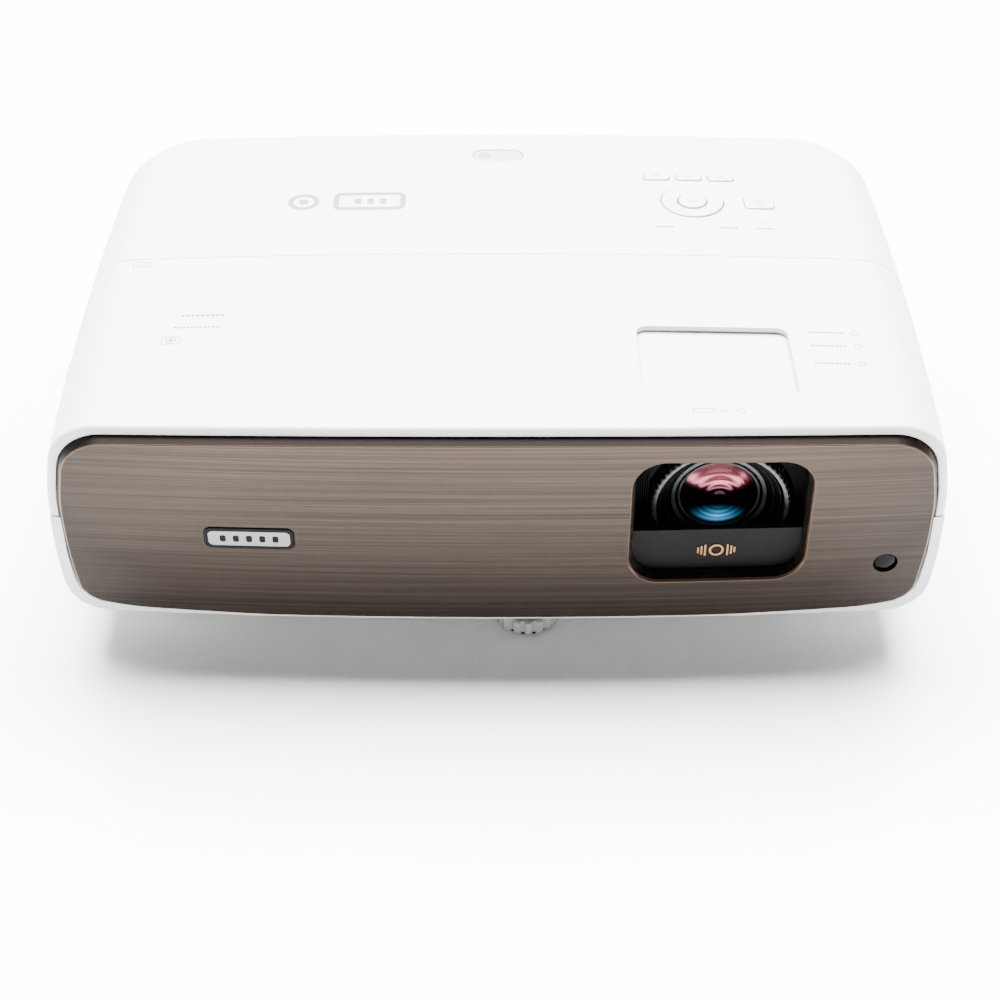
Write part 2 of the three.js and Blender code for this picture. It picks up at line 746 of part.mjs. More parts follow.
function topReceiver() {
  return plate(pillOutline(0), CASE_TOP - WALL - 1, topZ(PILL.x + PILL.length / 2) - 0.2);
}

// ---------------------------------------------------------------- feet
/** A scalloped wheel with a screw stem above it. */
function footWheel(foot) {
  const z0 = FOOT_PAD.height + GAP;
  const points = [];
  for (let k = 0; k < FOOT_NOTCHES; k++) {
    for (const [shift, lower] of [[0, 0], [0.55, 0], [0.65, 1], [0.9, 1]]) {
      const angle = (2 * Math.PI * (k + shift)) / FOOT_NOTCHES;
      const r = foot.radius - lower;
      points.push(new THREE.Vector2(foot.x + r * Math.cos(angle), foot.y + r * Math.sin(angle)));
    }
  }
  const wheel = plate(points, z0, z0 + FOOT_WHEEL);
  const stemTop = CASE_BOTTOM + FOOT_RANGE;
  const stem = rod("z", foot.x, foot.y, (z0 + 2 + stemTop) / 2, FOOT_STEM, stemTop - z0 - 2, 16);
  return join(wheel, stem);
}

function footPad(foot) {
  return rod("z", foot.x, foot.y, FOOT_PAD.height / 2, foot.radius - FOOT_PAD.inset, FOOT_PAD.height, 20);
}

// ---------------------------------------------------------------- rear panel and sockets
const PANEL_FRONT = REAR_Y - REAR_PANEL.inset - REAR_PANEL.thick;
const SOCKETS = [
  { name: "mains_inlet", x: -122, width: 27, height: 20, depth: 22, bore: [23.5, 15.5, 15], color: BLACK },
  { name: "hdmi_port_1", x: 118, width: 16, height: 7, depth: 12, bore: [14, 5, 9], color: STEEL },
  { name: "hdmi_port_2", x: 92, width: 16, height: 7, depth: 12, bore: [14, 5, 9], color: STEEL },
  { name: "usb_port_1", x: 68, width: 14.5, height: 7.2, depth: 14, bore: [12.5, 5.2, 11], color: STEEL },
  { name: "usb_port_2", x: 44, width: 14.5, height: 7.2, depth: 14, bore: [12.5, 5.2, 11], color: STEEL },
  { name: "serial_port", x: 10, width: 31, height: 12.5, depth: 11, bore: [17, 8, 6], color: STEEL },
  { name: "optical_port", x: -22, width: 10, height: 10, depth: 12, bore: [6, 6, 8], color: BLACK },
];
const JACKS = [
  { name: "audio_jack", x: -42 },
  { name: "trigger_jack", x: -58 },
];
const JACK = { radius: 4.2, bore: 1.8, depth: 13 };

function rearPanel() {
  const { x, z, width, height, thick } = REAR_PANEL;
  const y = PANEL_FRONT + thick / 2;
  const sheet = box(x, y, z, width - 2 * GAP, thick, height - 2 * GAP);
  const holes = SOCKETS.map((s) =>
    box(s.x, y, SOCKET_Z, s.width + 2 * GAP, 4 * thick, s.height + 2 * GAP),
  );
  for (const jack of JACKS) {
    holes.push(rod("y", jack.x, y, SOCKET_Z, JACK.radius + GAP, 4 * thick, 16));
  }
  const slots = 9;
  for (let k = 0; k < slots; k++) {
    holes.push(box(-122 + 30 + k * 5, y, 81, 2.4, 4 * thick, 20));
  }
  return cut(sheet, ...holes);
}

function socket(s) {
  const rear = REAR_Y - REAR_PANEL.inset + 0.3;
  const [w, h, d] = s.bore;
  const body = span(
    s.x - s.width / 2,
    rear - s.depth,
    SOCKET_Z - s.height / 2,
    s.x + s.width / 2,
    rear,
    SOCKET_Z + s.height / 2,
  );
  const hole = box(s.x, rear - d / 2 + 1, SOCKET_Z, w, d + 2, h);
  return body.subtract(hole);
}

function jackSocket(jack) {
  const rear = REAR_Y - REAR_PANEL.inset + 0.3;
  const middle = rear - JACK.depth / 2;
  const body = rod("y", jack.x, middle, SOCKET_Z, JACK.radius, JACK.depth, 16);
  return cut(body, rod("y", jack.x, rear, SOCKET_Z, JACK.bore, 2 * JACK.depth - 4, 12));
}

// ---------------------------------------------------------------- works inside
const FLOOR = CASE_BOTTOM + WALL + GAP;

function mainBoard() {
  const { z, thick } = BOARD;
  const sheet = span(-64, 56, z - thick / 2, 150, 112, z + thick / 2);
  const posts = [-50, 40, 140].map((x) => rod("z", x, 60, (FLOOR + z) / 2, 3, z - FLOOR, 8));
  return join(sheet, ...posts);
}

function powerSupply() {
  const base = span(-150, 20, FLOOR + 2, -72, 78, FLOOR + 3.6);
  const parts = [
    rod("z", -135, 40, FLOOR + 14, 9, 22, 12),
    rod("z", -112, 40, FLOOR + 14, 9, 22, 12),
    span(-100, 30, FLOOR + 3, -78, 58, FLOOR + 26),
    span(-146, 62, FLOOR + 3, -100, 68, FLOOR + 30),
    span(-94, 62, FLOOR + 3, -78, 74, FLOOR + 20),
    span(-146, 24, FLOOR, -140, 30, FLOOR + 3),
    span(-84, 70, FLOOR, -78, 76, FLOOR + 3),
  ];
  return join(base, ...parts);
}

function lampBallast() {
  return join(span(-140, -106, FLOOR, -66, -72, FLOOR + 24), span(-130, -100, FLOOR, -120, -66, FLOOR + 12));
}

/** The lamp in its heat-proof housing, with a finned burner end and a grip that faces the side. */
function lampModule() {
  const housing = span(-166, -56, FLOOR + 9, -104, -2, 104);
  const room = span(-158, -50, FLOOR + 15, -100, -8, 98);
  const stand = span(-150, -40, FLOOR, -112, -18, FLOOR + 10);
  const grip = join(
    span(-174, -40, 84, -160, -36, 90),
    span(-174, -22, 84, -160, -18, 90),
    span(-174, -40, 84, -170, -18, 90),
  );
  const burner = rod("x", -130, -29, 66, 19, 44, 20);
  const post = span(-132, -34, FLOOR + 14, -126, -24, 99);
  return join(housing.subtract(room), stand, grip, burner, post);
}

const WHEEL = { x: -82, y: -29, z: 66, radius: 22 };

function colourWheel() {
  return join(
    rod("x", WHEEL.x, WHEEL.y, WHEEL.z, WHEEL.radius, 1.2, 32),
    rod("x", WHEEL.x, WHEEL.y, WHEEL.z, 9, 4, 20),
  );
}

function wheelMotor() {
  const body = rod("x", WHEEL.x + 9, WHEEL.y, WHEEL.z, 10, 12, 20);
  const foot = span(WHEEL.x + 5, WHEEL.y - 8, FLOOR, WHEEL.x + 13, WHEEL.y + 8, WHEEL.z);
  return join(body, foot);
}

const ENGINE_Y = MOUNT_Y + 4 + GAP;

function opticalEngine() {
  const box1 = span(-60, -44, 34, 60, -10, 96);
  const box2 = span(50, ENGINE_Y, 34, 140, 30, 106);
  const feet = [[-50, -30], [56, -30], [130, -30], [130, 20], [60, 20]].map(([x, y]) =>
    span(x - 5, y - 5, FLOOR, x + 5, y + 5, 36),
  );
  const light = span(-70, -40, 55, -50, -18, 80);
  const lensHole = rod("y", LENS_X, ENGINE_Y, LENS_Z, LIGHT_RADIUS, 30, 20);
  return cut(join(box1, box2, ...feet), light, lensHole);
}

function chipHeatSink() {
  const base = span(66, 30 + GAP, 56, 124, 34, 104);
  const fins = [];
  for (let k = 0; k < 9; k++) {
    fins.push(span(67 + 7 * k - 0.5, 33, 56, 67 + 7 * k + 1, 52, 104));
  }
  return join(base, ...fins);
}

const FANS = [
  { name: "exhaust_fan", x: -164, y: 58, z: 75, side: 70, deep: 16 },
  { name: "intake_fan", x: 164, y: 40, z: 75, side: 70, deep: 16 },
];

function fanFrame(fan) {
  const rim = box(fan.x, fan.y, fan.z, fan.deep, fan.side, fan.side);
  const bore = rod("x", fan.x, fan.y, fan.z, fan.side / 2 - 2, fan.deep + 2, 32);
  const hubX = fan.x - Math.sign(fan.x) * (fan.deep / 2 - 1);
  const arms = [
    box(hubX, fan.y, fan.z, 2, fan.side - 2, 4),
    box(hubX, fan.y, fan.z, 2, 4, fan.side - 2),
    rod("x", hubX, fan.y, fan.z, 12, 2, 20),
  ];
  return join(rim.subtract(bore), ...arms);
}

function fanRotor(fan) {
  const x = fan.x + Math.sign(fan.x) * 1.5;
  const deep = fan.deep - 6;
  const hub = rod("x", x, fan.y, fan.z, 13, deep, 20);
  const blades = [];
  const count = 7;
  for (let k = 0; k < count; k++) {
    const blade = box(0, 0, fan.side / 4, 1.4, 12, fan.side / 2 - 6)
      .rotate([0, 0, 35])
      .rotate([(360 * k) / count, 0, 0])
      .translate([x, fan.y, fan.z]);
    blades.push(blade);
  }
  return join(hub, ...blades);
}

const SPEAKER = { x: 159, y: -84, z: 64, deep: 22, wide: 44, high: 54 };

function speaker(side) {
  const { x, y, z, deep, wide, high } = SPEAKER;
  const front = side * (x + deep / 2);
  const cabinet = box(side * x, y, z, deep, wide, high);
  const cone = rod("x", front, y, z, 18, 4, 20);
  const ring = tube("x", front + side * 0.6, y, z, 20, 17.5, 2.4, 20);
  return join(cabinet.subtract(cone), ring);
}

// ---------------------------------------------------------------- the model
piece("front_top_cover", frontTopCover(), ...WHITE);
piece("rear_top_cover", rearTopCover(), ...WHITE);
piece("bottom_case", bottomCase(), ...WHITE);
piece("side_grille_right", sideGrilleRight(), ...WHITE);
piece("side_grille_left", sideGrilleLeft(), ...WHITE);
piece("lamp_door", lampDoor(), ...WHITE);
piece("front_panel", frontPanel(), ...BRONZE);
piece("nameplate", nameplate(), 0xc9ccd0, 0.2, 1);
piece("front_receiver_window", frontReceiver(), 0x0b0b0c, 0.1);
piece("lens_shroud", lensShroud(), ...DARK);
piece("shroud_emblem", shroudEmblem(), 0xc8a468, 0.35, 1);
piece("focus_ring", focusRing(), ...BLACK);
piece("zoom_ring", zoomRing(), ...BLACK);
piece("lens_barrel", lensBarrel(), ...BLACK);
piece("front_glass", frontGlass(), 0x39364a, 0.05);
piece("lens_carriage", lensCarriage(), ...DARK);
piece("lens_mount", lensMount(), ...STEEL);
piece("lens_shift_dial", shiftDial(), ...DARK);
piece("access_door", accessDoor(), ...WHITE);
for (const key of KEYS) piece(key.name, keyCap(key), ...WHITE);
piece("ok_key", okKey(), ...WHITE);
piece("navigation_ring", navigationRing(), ...WHITE);
piece("navigation_cushion", navigationCushion(), 0x3a3a3c, 0.9);
piece("keypad_board", keypadBoard(), ...BOARD_GREEN);
piece("status_light_pipe", lightPipe(), 0xe9eef2, 0.15);
piece("top_receiver_window", topReceiver(), 0xe9e9e8, 0.2);
for (const foot of FEET) {
  piece(`${foot.name}_wheel`, footWheel(foot), ...WHITE);
  piece(`${foot.name}_pad`, footPad(foot), 0x2a2a2b, 0.9);
}
piece("rear_panel", rearPanel(), ...DARK);
for (const s of SOCKETS) piece(s.name, socket(s), ...s.color);
for (const jack of JACKS) piece(jack.name, jackSocket(jack), ...BLACK);
piece("main_board", mainBoard(), ...BOARD_GREEN);
piece("power_supply", powerSupply(), 0x8a6f3d, 0.6);
piece("lamp_ballast", lampBallast(), ...STEEL);
piece("lamp_module", lampModule(), 0x3b3c3f, 0.5);
piece("colour_wheel", colourWheel(), 0x8fa8b8, 0.1);
piece("wheel_motor", wheelMotor(), ...STEEL);
piece("optical_engine", opticalEngine(), 0x6d6f72, 0.5, 0.6);
piece("chip_heat_sink", chipHeatSink(), 0xb4b6b8, 0.4, 1);
for (const fan of FANS) {
  piece(`${fan.name}_frame`, fanFrame(fan), ...BLACK);
  piece(`${fan.name}_rotor`, fanRotor(fan), ...DARK);
}
piece("speaker_left", speaker(-1), ...BLACK);
piece("speaker_right", speaker(1), ...BLACK);

export default root;
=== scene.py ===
"""Looks of a home projector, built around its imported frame: casing, lens, keypad, feet and rear sockets."""

import logging
import math
from dataclasses import astuple, dataclass, field
from enum import Enum
from typing import Callable, Iterable, Sequence

import bmesh
import bpy
from mathutils import Matrix, Vector


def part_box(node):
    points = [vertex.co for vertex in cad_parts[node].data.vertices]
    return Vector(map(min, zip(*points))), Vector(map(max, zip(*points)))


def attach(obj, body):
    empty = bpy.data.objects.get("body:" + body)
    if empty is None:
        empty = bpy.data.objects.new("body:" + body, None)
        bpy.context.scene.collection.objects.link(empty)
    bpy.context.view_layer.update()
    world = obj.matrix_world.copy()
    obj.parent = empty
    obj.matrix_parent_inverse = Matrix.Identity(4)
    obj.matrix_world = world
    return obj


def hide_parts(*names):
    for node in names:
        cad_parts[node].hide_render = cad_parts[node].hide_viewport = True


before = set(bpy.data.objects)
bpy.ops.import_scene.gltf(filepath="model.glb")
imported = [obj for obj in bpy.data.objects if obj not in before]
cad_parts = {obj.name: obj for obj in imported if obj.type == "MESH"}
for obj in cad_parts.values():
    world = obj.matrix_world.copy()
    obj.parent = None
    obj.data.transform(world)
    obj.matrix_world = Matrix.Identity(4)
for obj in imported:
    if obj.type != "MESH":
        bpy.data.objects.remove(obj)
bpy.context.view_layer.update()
LOG = logging.getLogger("projector")
MM = 0.001
CHASSIS = "chassis"
# Heights in millimetres between which a cutter passes right through the top cover.
COVER_CUT = (112, 136)
# Height of the middle of the round jacks and of the wide sockets.
JACK_Z = 52.0
# Depths between which a cutter passes right through the rear panel.
REAR_CUT = (120, 140)


class Axis(Enum):
    """The three directions of the frame."""

    X = 0
    Y = 1
    Z = 2


class Side(Enum):
    """Left and right as seen from in front of the lens."""

    LEFT = -1
    RIGHT = 1


# ------------------------------------------------------------------ finishes
def linear(code: str) -> tuple[float, float, float, float]:
    """Turns an sRGB hex colour into linear light.

    Args:
        code: six hex digits with a leading hash.

    Returns:
        Red, green, blue and an alpha of one.
    """
    values = [int(code[i : i + 2], 16) / 255 for i in (1, 3, 5)]
    parts = [v / 12.92 if v <= 0.04045 else ((v + 0.055) / 1.055) ** 2.4 for v in values]
    return (parts[0], parts[1], parts[2], 1.0)


def add_node(tree: bpy.types.NodeTree, kind: str, settings: dict, links: dict) -> bpy.types.Node:
    """Adds one node with its settings and its incoming links.

    Args:
        tree: the node tree.
        kind: the node's type name.
        settings: attribute or input socket (name or index) to value.
        links: input socket (name or index) to the output socket that feeds it.

    Returns:
        The new node.
    """
    node = tree.nodes.new(kind)
    for key, value in settings.items():
        if isinstance(key, str) and hasattr(node, key):
            setattr(node, key, value)
        else:
            node.inputs[key].default_value = value
    for key, source in links.items():
        tree.links.new(source, node.inputs[key])
    return node


def remap(tree: bpy.types.NodeTree, source: bpy.types.NodeSocket, **ends: float | str) -> bpy.types.NodeSocket:
    """Maps a value from one range to another.

    Args:
        tree: the node tree.
        source: the value.
        ends: from_min, from_max, to_min and to_max, and interpolation_type, where they aren't the usual ones.

    Returns:
        The mapped value.
    """
    names = {"from_min": "From Min", "from_max": "From Max", "to_min": "To Min", "to_max": "To Max"}
    settings = {names.get(key, key): value for key, value in ends.items()}
    return add_node(tree, "ShaderNodeMapRange", settings, {"Value": source}).outputs["Result"]


def calculate(tree: bpy.types.NodeTree, operation: str, *sources: bpy.types.NodeSocket) -> bpy.types.NodeSocket:
    """Returns the result of a sum over one or two values."""
    node = add_node(tree, "ShaderNodeMath", {"operation": operation}, dict(enumerate(sources)))
    return node.outputs["Value"]


def blend_colours(
    tree: bpy.types.NodeTree, share: bpy.types.NodeSocket, low: Sequence[float], high: Sequence[float]
) -> bpy.types.NodeSocket:
    """Returns a colour between two, by a share."""
    mix = add_node(tree, "ShaderNodeMix", {"data_type": "RGBA"}, {0: share})
    mix.inputs[6].default_value = low
    mix.inputs[7].default_value = high
    return mix.outputs[2]


def relief(
    tree: bpy.types.NodeTree,
    shader: bpy.types.Node,
    height: bpy.types.NodeSocket,
    strength: float,
    depth_mm: float,
) -> None:
    """Tilts the surface by a height."""
    settings = {"Strength": strength, "Distance": depth_mm * MM}
    bump = add_node(tree, "ShaderNodeBump", settings, {"Height": height})
    tree.links.new(bump.outputs["Normal"], shader.inputs["Normal"])


def place_of(tree: bpy.types.NodeTree, place: bpy.types.NodeSocket, axis: Axis) -> bpy.types.NodeSocket:
    """Returns one coordinate of a place."""
    return add_node(tree, "ShaderNodeSeparateXYZ", {}, {"Vector": place}).outputs[axis.value]


@dataclass(frozen=True)
class Finish:
    """A finish: what the real surface is, and how light meets it."""

    name: str
    slot: str
    colour: str
    roughness: float
    metallic: float = 0.0
    grain_mm: float = 0.5
    grain_depth: float = 0.05
    coat: float = 0.0
    specular: float = 0.5

    def material(self) -> bpy.types.Material:
        """Returns the finish's material, made the first time it is asked for."""
        found = bpy.data.materials.get(self.name)
        if found:
            return found
        made = bpy.data.materials.new(self.name)
        made.use_nodes = True
        tree = made.node_tree
        shader = tree.nodes["Principled BSDF"]
        shader.inputs["Base Color"].default_value = linear(self.colour)
        shader.inputs["Roughness"].default_value = self.roughness
        shader.inputs["Metallic"].default_value = self.metallic
        shader.inputs["Coat Weight"].default_value = self.coat
        shader.inputs["Specular IOR Level"].default_value = self.specular
        place = add_node(tree, "ShaderNodeTexCoord", {}, {}).outputs["Object"]
        self.dress(tree, shader, place)
        return made

    def grain(self, tree: bpy.types.NodeTree, place: bpy.types.NodeSocket) -> bpy.types.NodeSocket:
        """Adds the fine texture of the surface and returns its height.

        Args:
            tree: the material's nodes.
            place: object coordinates in metres.
        """
        settings = {"Scale": 1.0 / (self.grain_mm * MM), "Detail": 3.0, "Roughness": 0.6}
        return add_node(tree, "ShaderNodeTexNoise", settings, {"Vector": place}).outputs["Fac"]

    def dress(self, tree: bpy.types.NodeTree, shader: bpy.types.Node, place: bpy.types.NodeSocket) -> None:
        """Adds colour, roughness and relief: here, a spark-eroded mould texture.

        Args:
            tree: the material's nodes.
            shader: the surface shader.
            place: object coordinates in metres.
        """
        height = self.grain(tree, place)
        broad = add_node(tree, "ShaderNodeTexNoise", {"Scale": 40.0, "Detail": 2.0}, {"Vector": place})
        base = linear(self.colour)
        dim = tuple(0.94 * part for part in base[:3]) + (1.0,)
        tint = blend_colours(tree, broad.outputs["Fac"], dim, base)
        tree.links.new(tint, shader.inputs["Base Color"])
        rough = remap(tree, height, to_min=self.roughness * 0.9, to_max=min(1.0, self.roughness * 1.12))
        tree.links.new(rough, shader.inputs["Roughness"])
        relief(tree, shader, height, self.grain_depth, 0.1)


@dataclass(frozen=True)
class Brushed(Finish):
    """Metal drawn along X with a brush: long hairlines, each a little lighter or darker."""

    line_mm: float = 0.25
    run_mm: float = 150.0
    # The tint from dark to light is a painted reflection: dark at the panel's foot, light at its top, and darker
    # again towards both ends.
    light: str = "#2E261F"
    dark: str = "#1F1813"
    low_mm: float = 26.0
    high_mm: float = 124.0
    painted_end_flat_mm: float = 120.0
    painted_end_mm: float = 184.0
    painted_end_shade: float = 0.62

    def streaks(
        self, tree: bpy.types.NodeTree, place: bpy.types.NodeSocket, line: float, run: float
    ) -> bpy.types.NodeSocket:
        """Returns noise drawn out along X.

        Args:
            tree: the material's nodes.
            place: object coordinates in metres.
            line: width of one line in millimetres.
            run: length of one line in millimetres.
        """
        scale = (1 / (run * MM), 1 / (run * MM), 1 / (line * MM))
        drawn = add_node(tree, "ShaderNodeMapping", {"Scale": scale}, {"Vector": place})
        settings = {"Scale": 1.0, "Detail": 3.0, "Roughness": 0.65}
        links = {"Vector": drawn.outputs["Vector"]}
        return add_node(tree, "ShaderNodeTexNoise", settings, links).outputs["Fac"]

    def dress(self, tree: bpy.types.NodeTree, shader: bpy.types.Node, place: bpy.types.NodeSocket) -> None:
        """Adds hairlines in two widths over a tint that deepens towards the panel's foot and its two ends: a
        painted reflection.
        """
        fine = self.streaks(tree, place, self.line_mm, self.run_mm)
        broad = self.streaks(tree, place, self.line_mm * 4, self.run_mm * 2)
        bounds = {"from_min": self.low_mm * MM, "from_max": self.high_mm * MM}
        # Painted reflection: the tint runs from dark at the foot to light at the top.
        painted_reflection_fade = remap(tree, place_of(tree, place, Axis.Z), interpolation_type="SMOOTHSTEP", **bounds)
        tint = blend_colours(tree, painted_reflection_fade, linear(self.dark), linear(self.light))
        lines = calculate(tree, "MULTIPLY", fine, broad)
        shade = remap(tree, lines, from_min=0.14, from_max=0.38, to_min=0.45, to_max=1.5)
        # Painted reflection: the panel darkens towards both ends.
        reach = calculate(tree, "ABSOLUTE", place_of(tree, place, Axis.X))
        bounds = {"from_min": self.painted_end_flat_mm * MM, "from_max": self.painted_end_mm * MM}
        flank = remap(tree, reach, to_min=1.0, to_max=self.painted_end_shade, **bounds)
        level = calculate(tree, "MULTIPLY", shade, flank)
        colour = add_node(tree, "ShaderNodeVectorMath", {"operation": "SCALE"}, {0: tint})
        tree.links.new(level, colour.inputs["Scale"])
        tree.links.new(colour.outputs["Vector"], shader.inputs["Base Color"])
        rough = remap(tree, fine, to_min=self.roughness - 0.07, to_max=self.roughness + 0.09)
        tree.links.new(rough, shader.inputs["Roughness"])
        relief(tree, shader, fine, self.grain_depth, 0.05)
        shader.inputs["Anisotropic"].default_value = 0.6


@dataclass(frozen=True)
class PaintedReflectionGlass(Finish):
    """Dark glass with a painted reflection: rose above, blue below, near black between."""

    # These colours by height are a painted reflection: rose above, blue below, near black between.
    above: str = "#3A1A24"
    below: str = "#0A2A3A"
    middle: str = "#040406"
    centre_mm: float = 71.0
    reach_mm: float = 16.4
    axis_x: float = 95.0
    # A painted highlight: a blue glow low in the glass, though the glass is no lamp.
    glow_y: float = -98.0
    glow_z: float = 59.5
    glow_mm: float = 9.0
    glow_power: float = 3.2
    glow_colour: str = "#3F93C4"
    arc_mm: float = 3.2

    def dress(self, tree: bpy.types.NodeTree, shader: bpy.types.Node, place: bpy.types.NodeSocket) -> None:
        """Paints the reflection's colours by height over the lens axis, into base colour and specular tint."""
        low, high = (self.centre_mm - self.reach_mm) * MM, (self.centre_mm + self.reach_mm) * MM
        span = remap(tree, place_of(tree, place, Axis.Z), from_min=low, from_max=high)
        painted_reflection_ramp = add_node(tree, "ShaderNodeValToRGB", {}, {"Fac": span})
        stops = painted_reflection_ramp.color_ramp.elements
        stops[0].position, stops[0].color = 0.0, linear(self.below)
        stops[1].position, stops[1].color = 1.0, linear(self.above)
        painted_reflection_tones = ((0.2, "#2A6E96"), (0.4, "#0A1C2A"), (0.5, self.middle), (0.62, "#3A1830"), (0.8, "#B0606C"))
        for position, colour in painted_reflection_tones:
            stop = stops.new(position)
            stop.color = linear(colour)
        tree.links.new(painted_reflection_ramp.outputs["Color"], shader.inputs["Base Color"])
        tree.links.new(painted_reflection_ramp.outputs["Color"], shader.inputs["Specular Tint"])
        shader.inputs["Coat Roughness"].default_value = 0.03
        self.painted_glint(tree, shader, place)

    def painted_glint(self, tree: bpy.types.NodeTree, shader: bpy.types.Node, place: bpy.types.NodeSocket) -> None:
        """Paints a soft blue highlight low in the glass as a glow, broken into arcs by a ring texture.

        Args:
            tree: the material's nodes.
            shader: the surface shader.
            place: object coordinates in metres.
        """
        size = self.glow_mm * MM
        wide, deep = size * 1.5, size * 4
        spot_at = (-self.axis_x * MM / wide, -self.glow_y * MM / deep, -self.glow_z * MM / size)
        scale = (1 / wide, 1 / deep, 1 / size)
        near = add_node(tree, "ShaderNodeMapping", {"Scale": scale, "Location": spot_at}, {"Vector": place})
        ball = {"gradient_type": "QUADRATIC_SPHERE"}
        fall = add_node(tree, "ShaderNodeTexGradient", ball, {"Vector": near.outputs["Vector"]})
        ring_at = (-self.axis_x * MM, 0, -self.centre_mm * MM)
        middle = add_node(tree, "ShaderNodeMapping", {"Location": ring_at}, {"Vector": place})
        scale = 0.32 / (self.arc_mm * MM)
        rings = {"wave_type": "RINGS", "rings_direction": "Y", "Scale": scale, "Distortion": 0.0}
        wave = add_node(tree, "ShaderNodeTexWave", rings, {"Vector": middle.outputs["Vector"]})
        arcs = remap(tree, wave.outputs["Fac"], to_min=0.35, to_max=1.0)
        power = calculate(tree, "MULTIPLY", fall.outputs["Fac"], arcs)
        gain = remap(tree, power, to_max=self.glow_power)
        tree.links.new(gain, shader.inputs["Emission Strength"])
        shader.inputs["Emission Color"].default_value = linear(self.glow_colour)


@dataclass(frozen=True)
class Laminate(Finish):
    """Circuit board: green mask over copper tracks on a regular raster."""

    track_mm: float = 2.54

    def dress(self, tree: bpy.types.NodeTree, shader: bpy.types.Node, place: bpy.types.NodeSocket) -> None:
        """Adds rows of tracks that stand out a shade lighter than the mask."""
        settings = {
            "Scale": 1 / (self.track_mm * MM),
            "Color1": linear(self.colour),
            "Color2": linear("#0E2A1C"),
            "Mortar": linear("#3C7A55"),
            "Mortar Size": 0.06,
            "Brick Width": 3.0,
            "Row Height": 1.0,
        }
        tracks = add_node(tree, "ShaderNodeTexBrick", settings, {"Vector": place})
        tree.links.new(tracks.outputs["Color"], shader.inputs["Base Color"])
        relief(tree, shader, tracks.outputs["Fac"], 0.3, 0.05)


# White ABS from a spark-eroded mould: soft sheen, a texture felt more than seen.
WHITE_ABS = Finish(
    "white_abs_moulded", "white_shell", "#C6C6C5", 0.4, grain_mm=0.35, grain_depth=0.1
)
WHITE_KEYS = Finish(
    "white_abs_key_caps", "white_keys", "#C6C6C5", 0.33, grain_mm=0.3, grain_depth=0.05
)
WHITE_FEET = Finish(
    "white_nylon_feet", "white_feet", "#B9B9B8", 0.45, grain_mm=0.6, grain_depth=0.12
)
# Bronze-lacquered aluminium sheet, brushed along its length: hairlines and a warm tint, with a painted reflection
# that darkens it towards its foot and its ends.
BRONZE = Brushed(
    "bronze_brushed_aluminium", "bronze_panel", "#8C7F74", 0.36, 0.85, grain_depth=0.25
)
CHROME = Finish("satin_chrome", "chrome_plate", "#6A6B6E", 0.2, 1.0, grain_mm=1.5, grain_depth=0.03)
BADGE_DARK = Finish(
    "black_nickel", "chrome_plate", "#121112", 0.4, 1.0, grain_mm=1.5, grain_depth=0.03
)
# Painted shade: a near-black copy of the bronze for the panel's flank.
BRONZE_PAINTED_SHADE = Finish(
    "bronze_flank_painted_shade", "bronze_panel", "#0D0907", 0.5, 0.6, grain_mm=0.6, specular=0.1
)
BRONZE_LIP = Finish(
    "bronze_lip_lacquer", "bronze_panel", "#6E5F52", 0.5, 0.0, grain_mm=0.6, specular=0.3
)
# Polished edge metal; its lighter colour is partly a painted highlight along the panel's and window's edges.
CHAMPAGNE = Finish(
    "champagne_polished_edge_painted_highlight", "bronze_panel", "#4B3D2F", 0.36, 1.0, grain_mm=1.5, grain_depth=0.02
)
GOLD = Finish("gold_foil_print", "gold_mark", "#8E6A33", 0.45, 0.5, grain_mm=0.4, grain_depth=0.05)
BLACK_GLOSS = Finish(
    "infrared_window_polycarbonate", "black_window", "#020202", 0.1, grain_depth=0.01, specular=0.05
)
# Shroud plastic swallows stray light: black, fine and quite dull.
SHROUD = Finish(
    "flocked_black_abs", "shroud_black", "#0E0E0E", 0.7, grain_mm=0.4, grain_depth=0.2, specular=0.03
)
SHROUD_PLATE = Finish(
    "black_abs_fine_grain", "shroud_black", "#141414", 0.5, grain_mm=0.3, grain_depth=0.1, specular=0.04
)
LENS_BLACK = Finish(
    "lens_barrel_anodised", "lens_black", "#303033", 0.42, 0.2, grain_mm=0.5, grain_depth=0.05, specular=0.25
)
# Lighter grey for the barrel's rings, and painted light on the focus ring's front face.
LENS_BAND = Finish(
    "lens_ring_grey_and_painted_lit_face", "lens_black", "#66666A", 0.4, 0.5, grain_mm=1.0, grain_depth=0.03
)
SENSOR = Finish("sensor_dot_grey", "pale_window", "#8E8E8D", 0.3, coat=0.3, grain_depth=0.02)
LENS_MATTE = Finish(
    "lens_baffle_black", "lens_black", "#050505", 0.5, grain_mm=0.4, grain_depth=0.1, specular=0.05
)
# Painted reflection and painted highlight for the lens glass.
PAINTED_REFLECTION_GLASS = PaintedReflectionGlass("lens_glass_painted_reflection", "lens_glass", "#101018", 0.2, 0.95, coat=0.15)
CHARCOAL = Finish(
    "charcoal_abs_textured", "dark_plastic", "#08080A", 0.6, grain_mm=0.5, grain_depth=0.15, specular=0.04
)
INK = Finish("grey_pad_print", "dark_plastic", "#5C5C5C", 0.6, grain_mm=0.3, grain_depth=0.03)
INK_PALE = Finish(
    "pale_grey_pad_print", "dark_plastic", "#6A6A6A", 0.6, grain_mm=0.3, grain_depth=0.03
)
INK_DARK = Finish(
    "dark_grey_pad_print", "dark_plastic", "#4A4A4B", 0.6, grain_mm=0.3, grain_depth=0.03
)
INK_WHITE = Finish(
    "white_pad_print", "dark_plastic", "#6C6C6C", 0.6, grain_mm=0.3, grain_depth=0.03
)
SOCKET_BLACK = Finish(
    "socket_nylon_black", "dark_plastic", "#070707", 0.5, grain_mm=0.6, grain_depth=0.1, specular=0.08
)
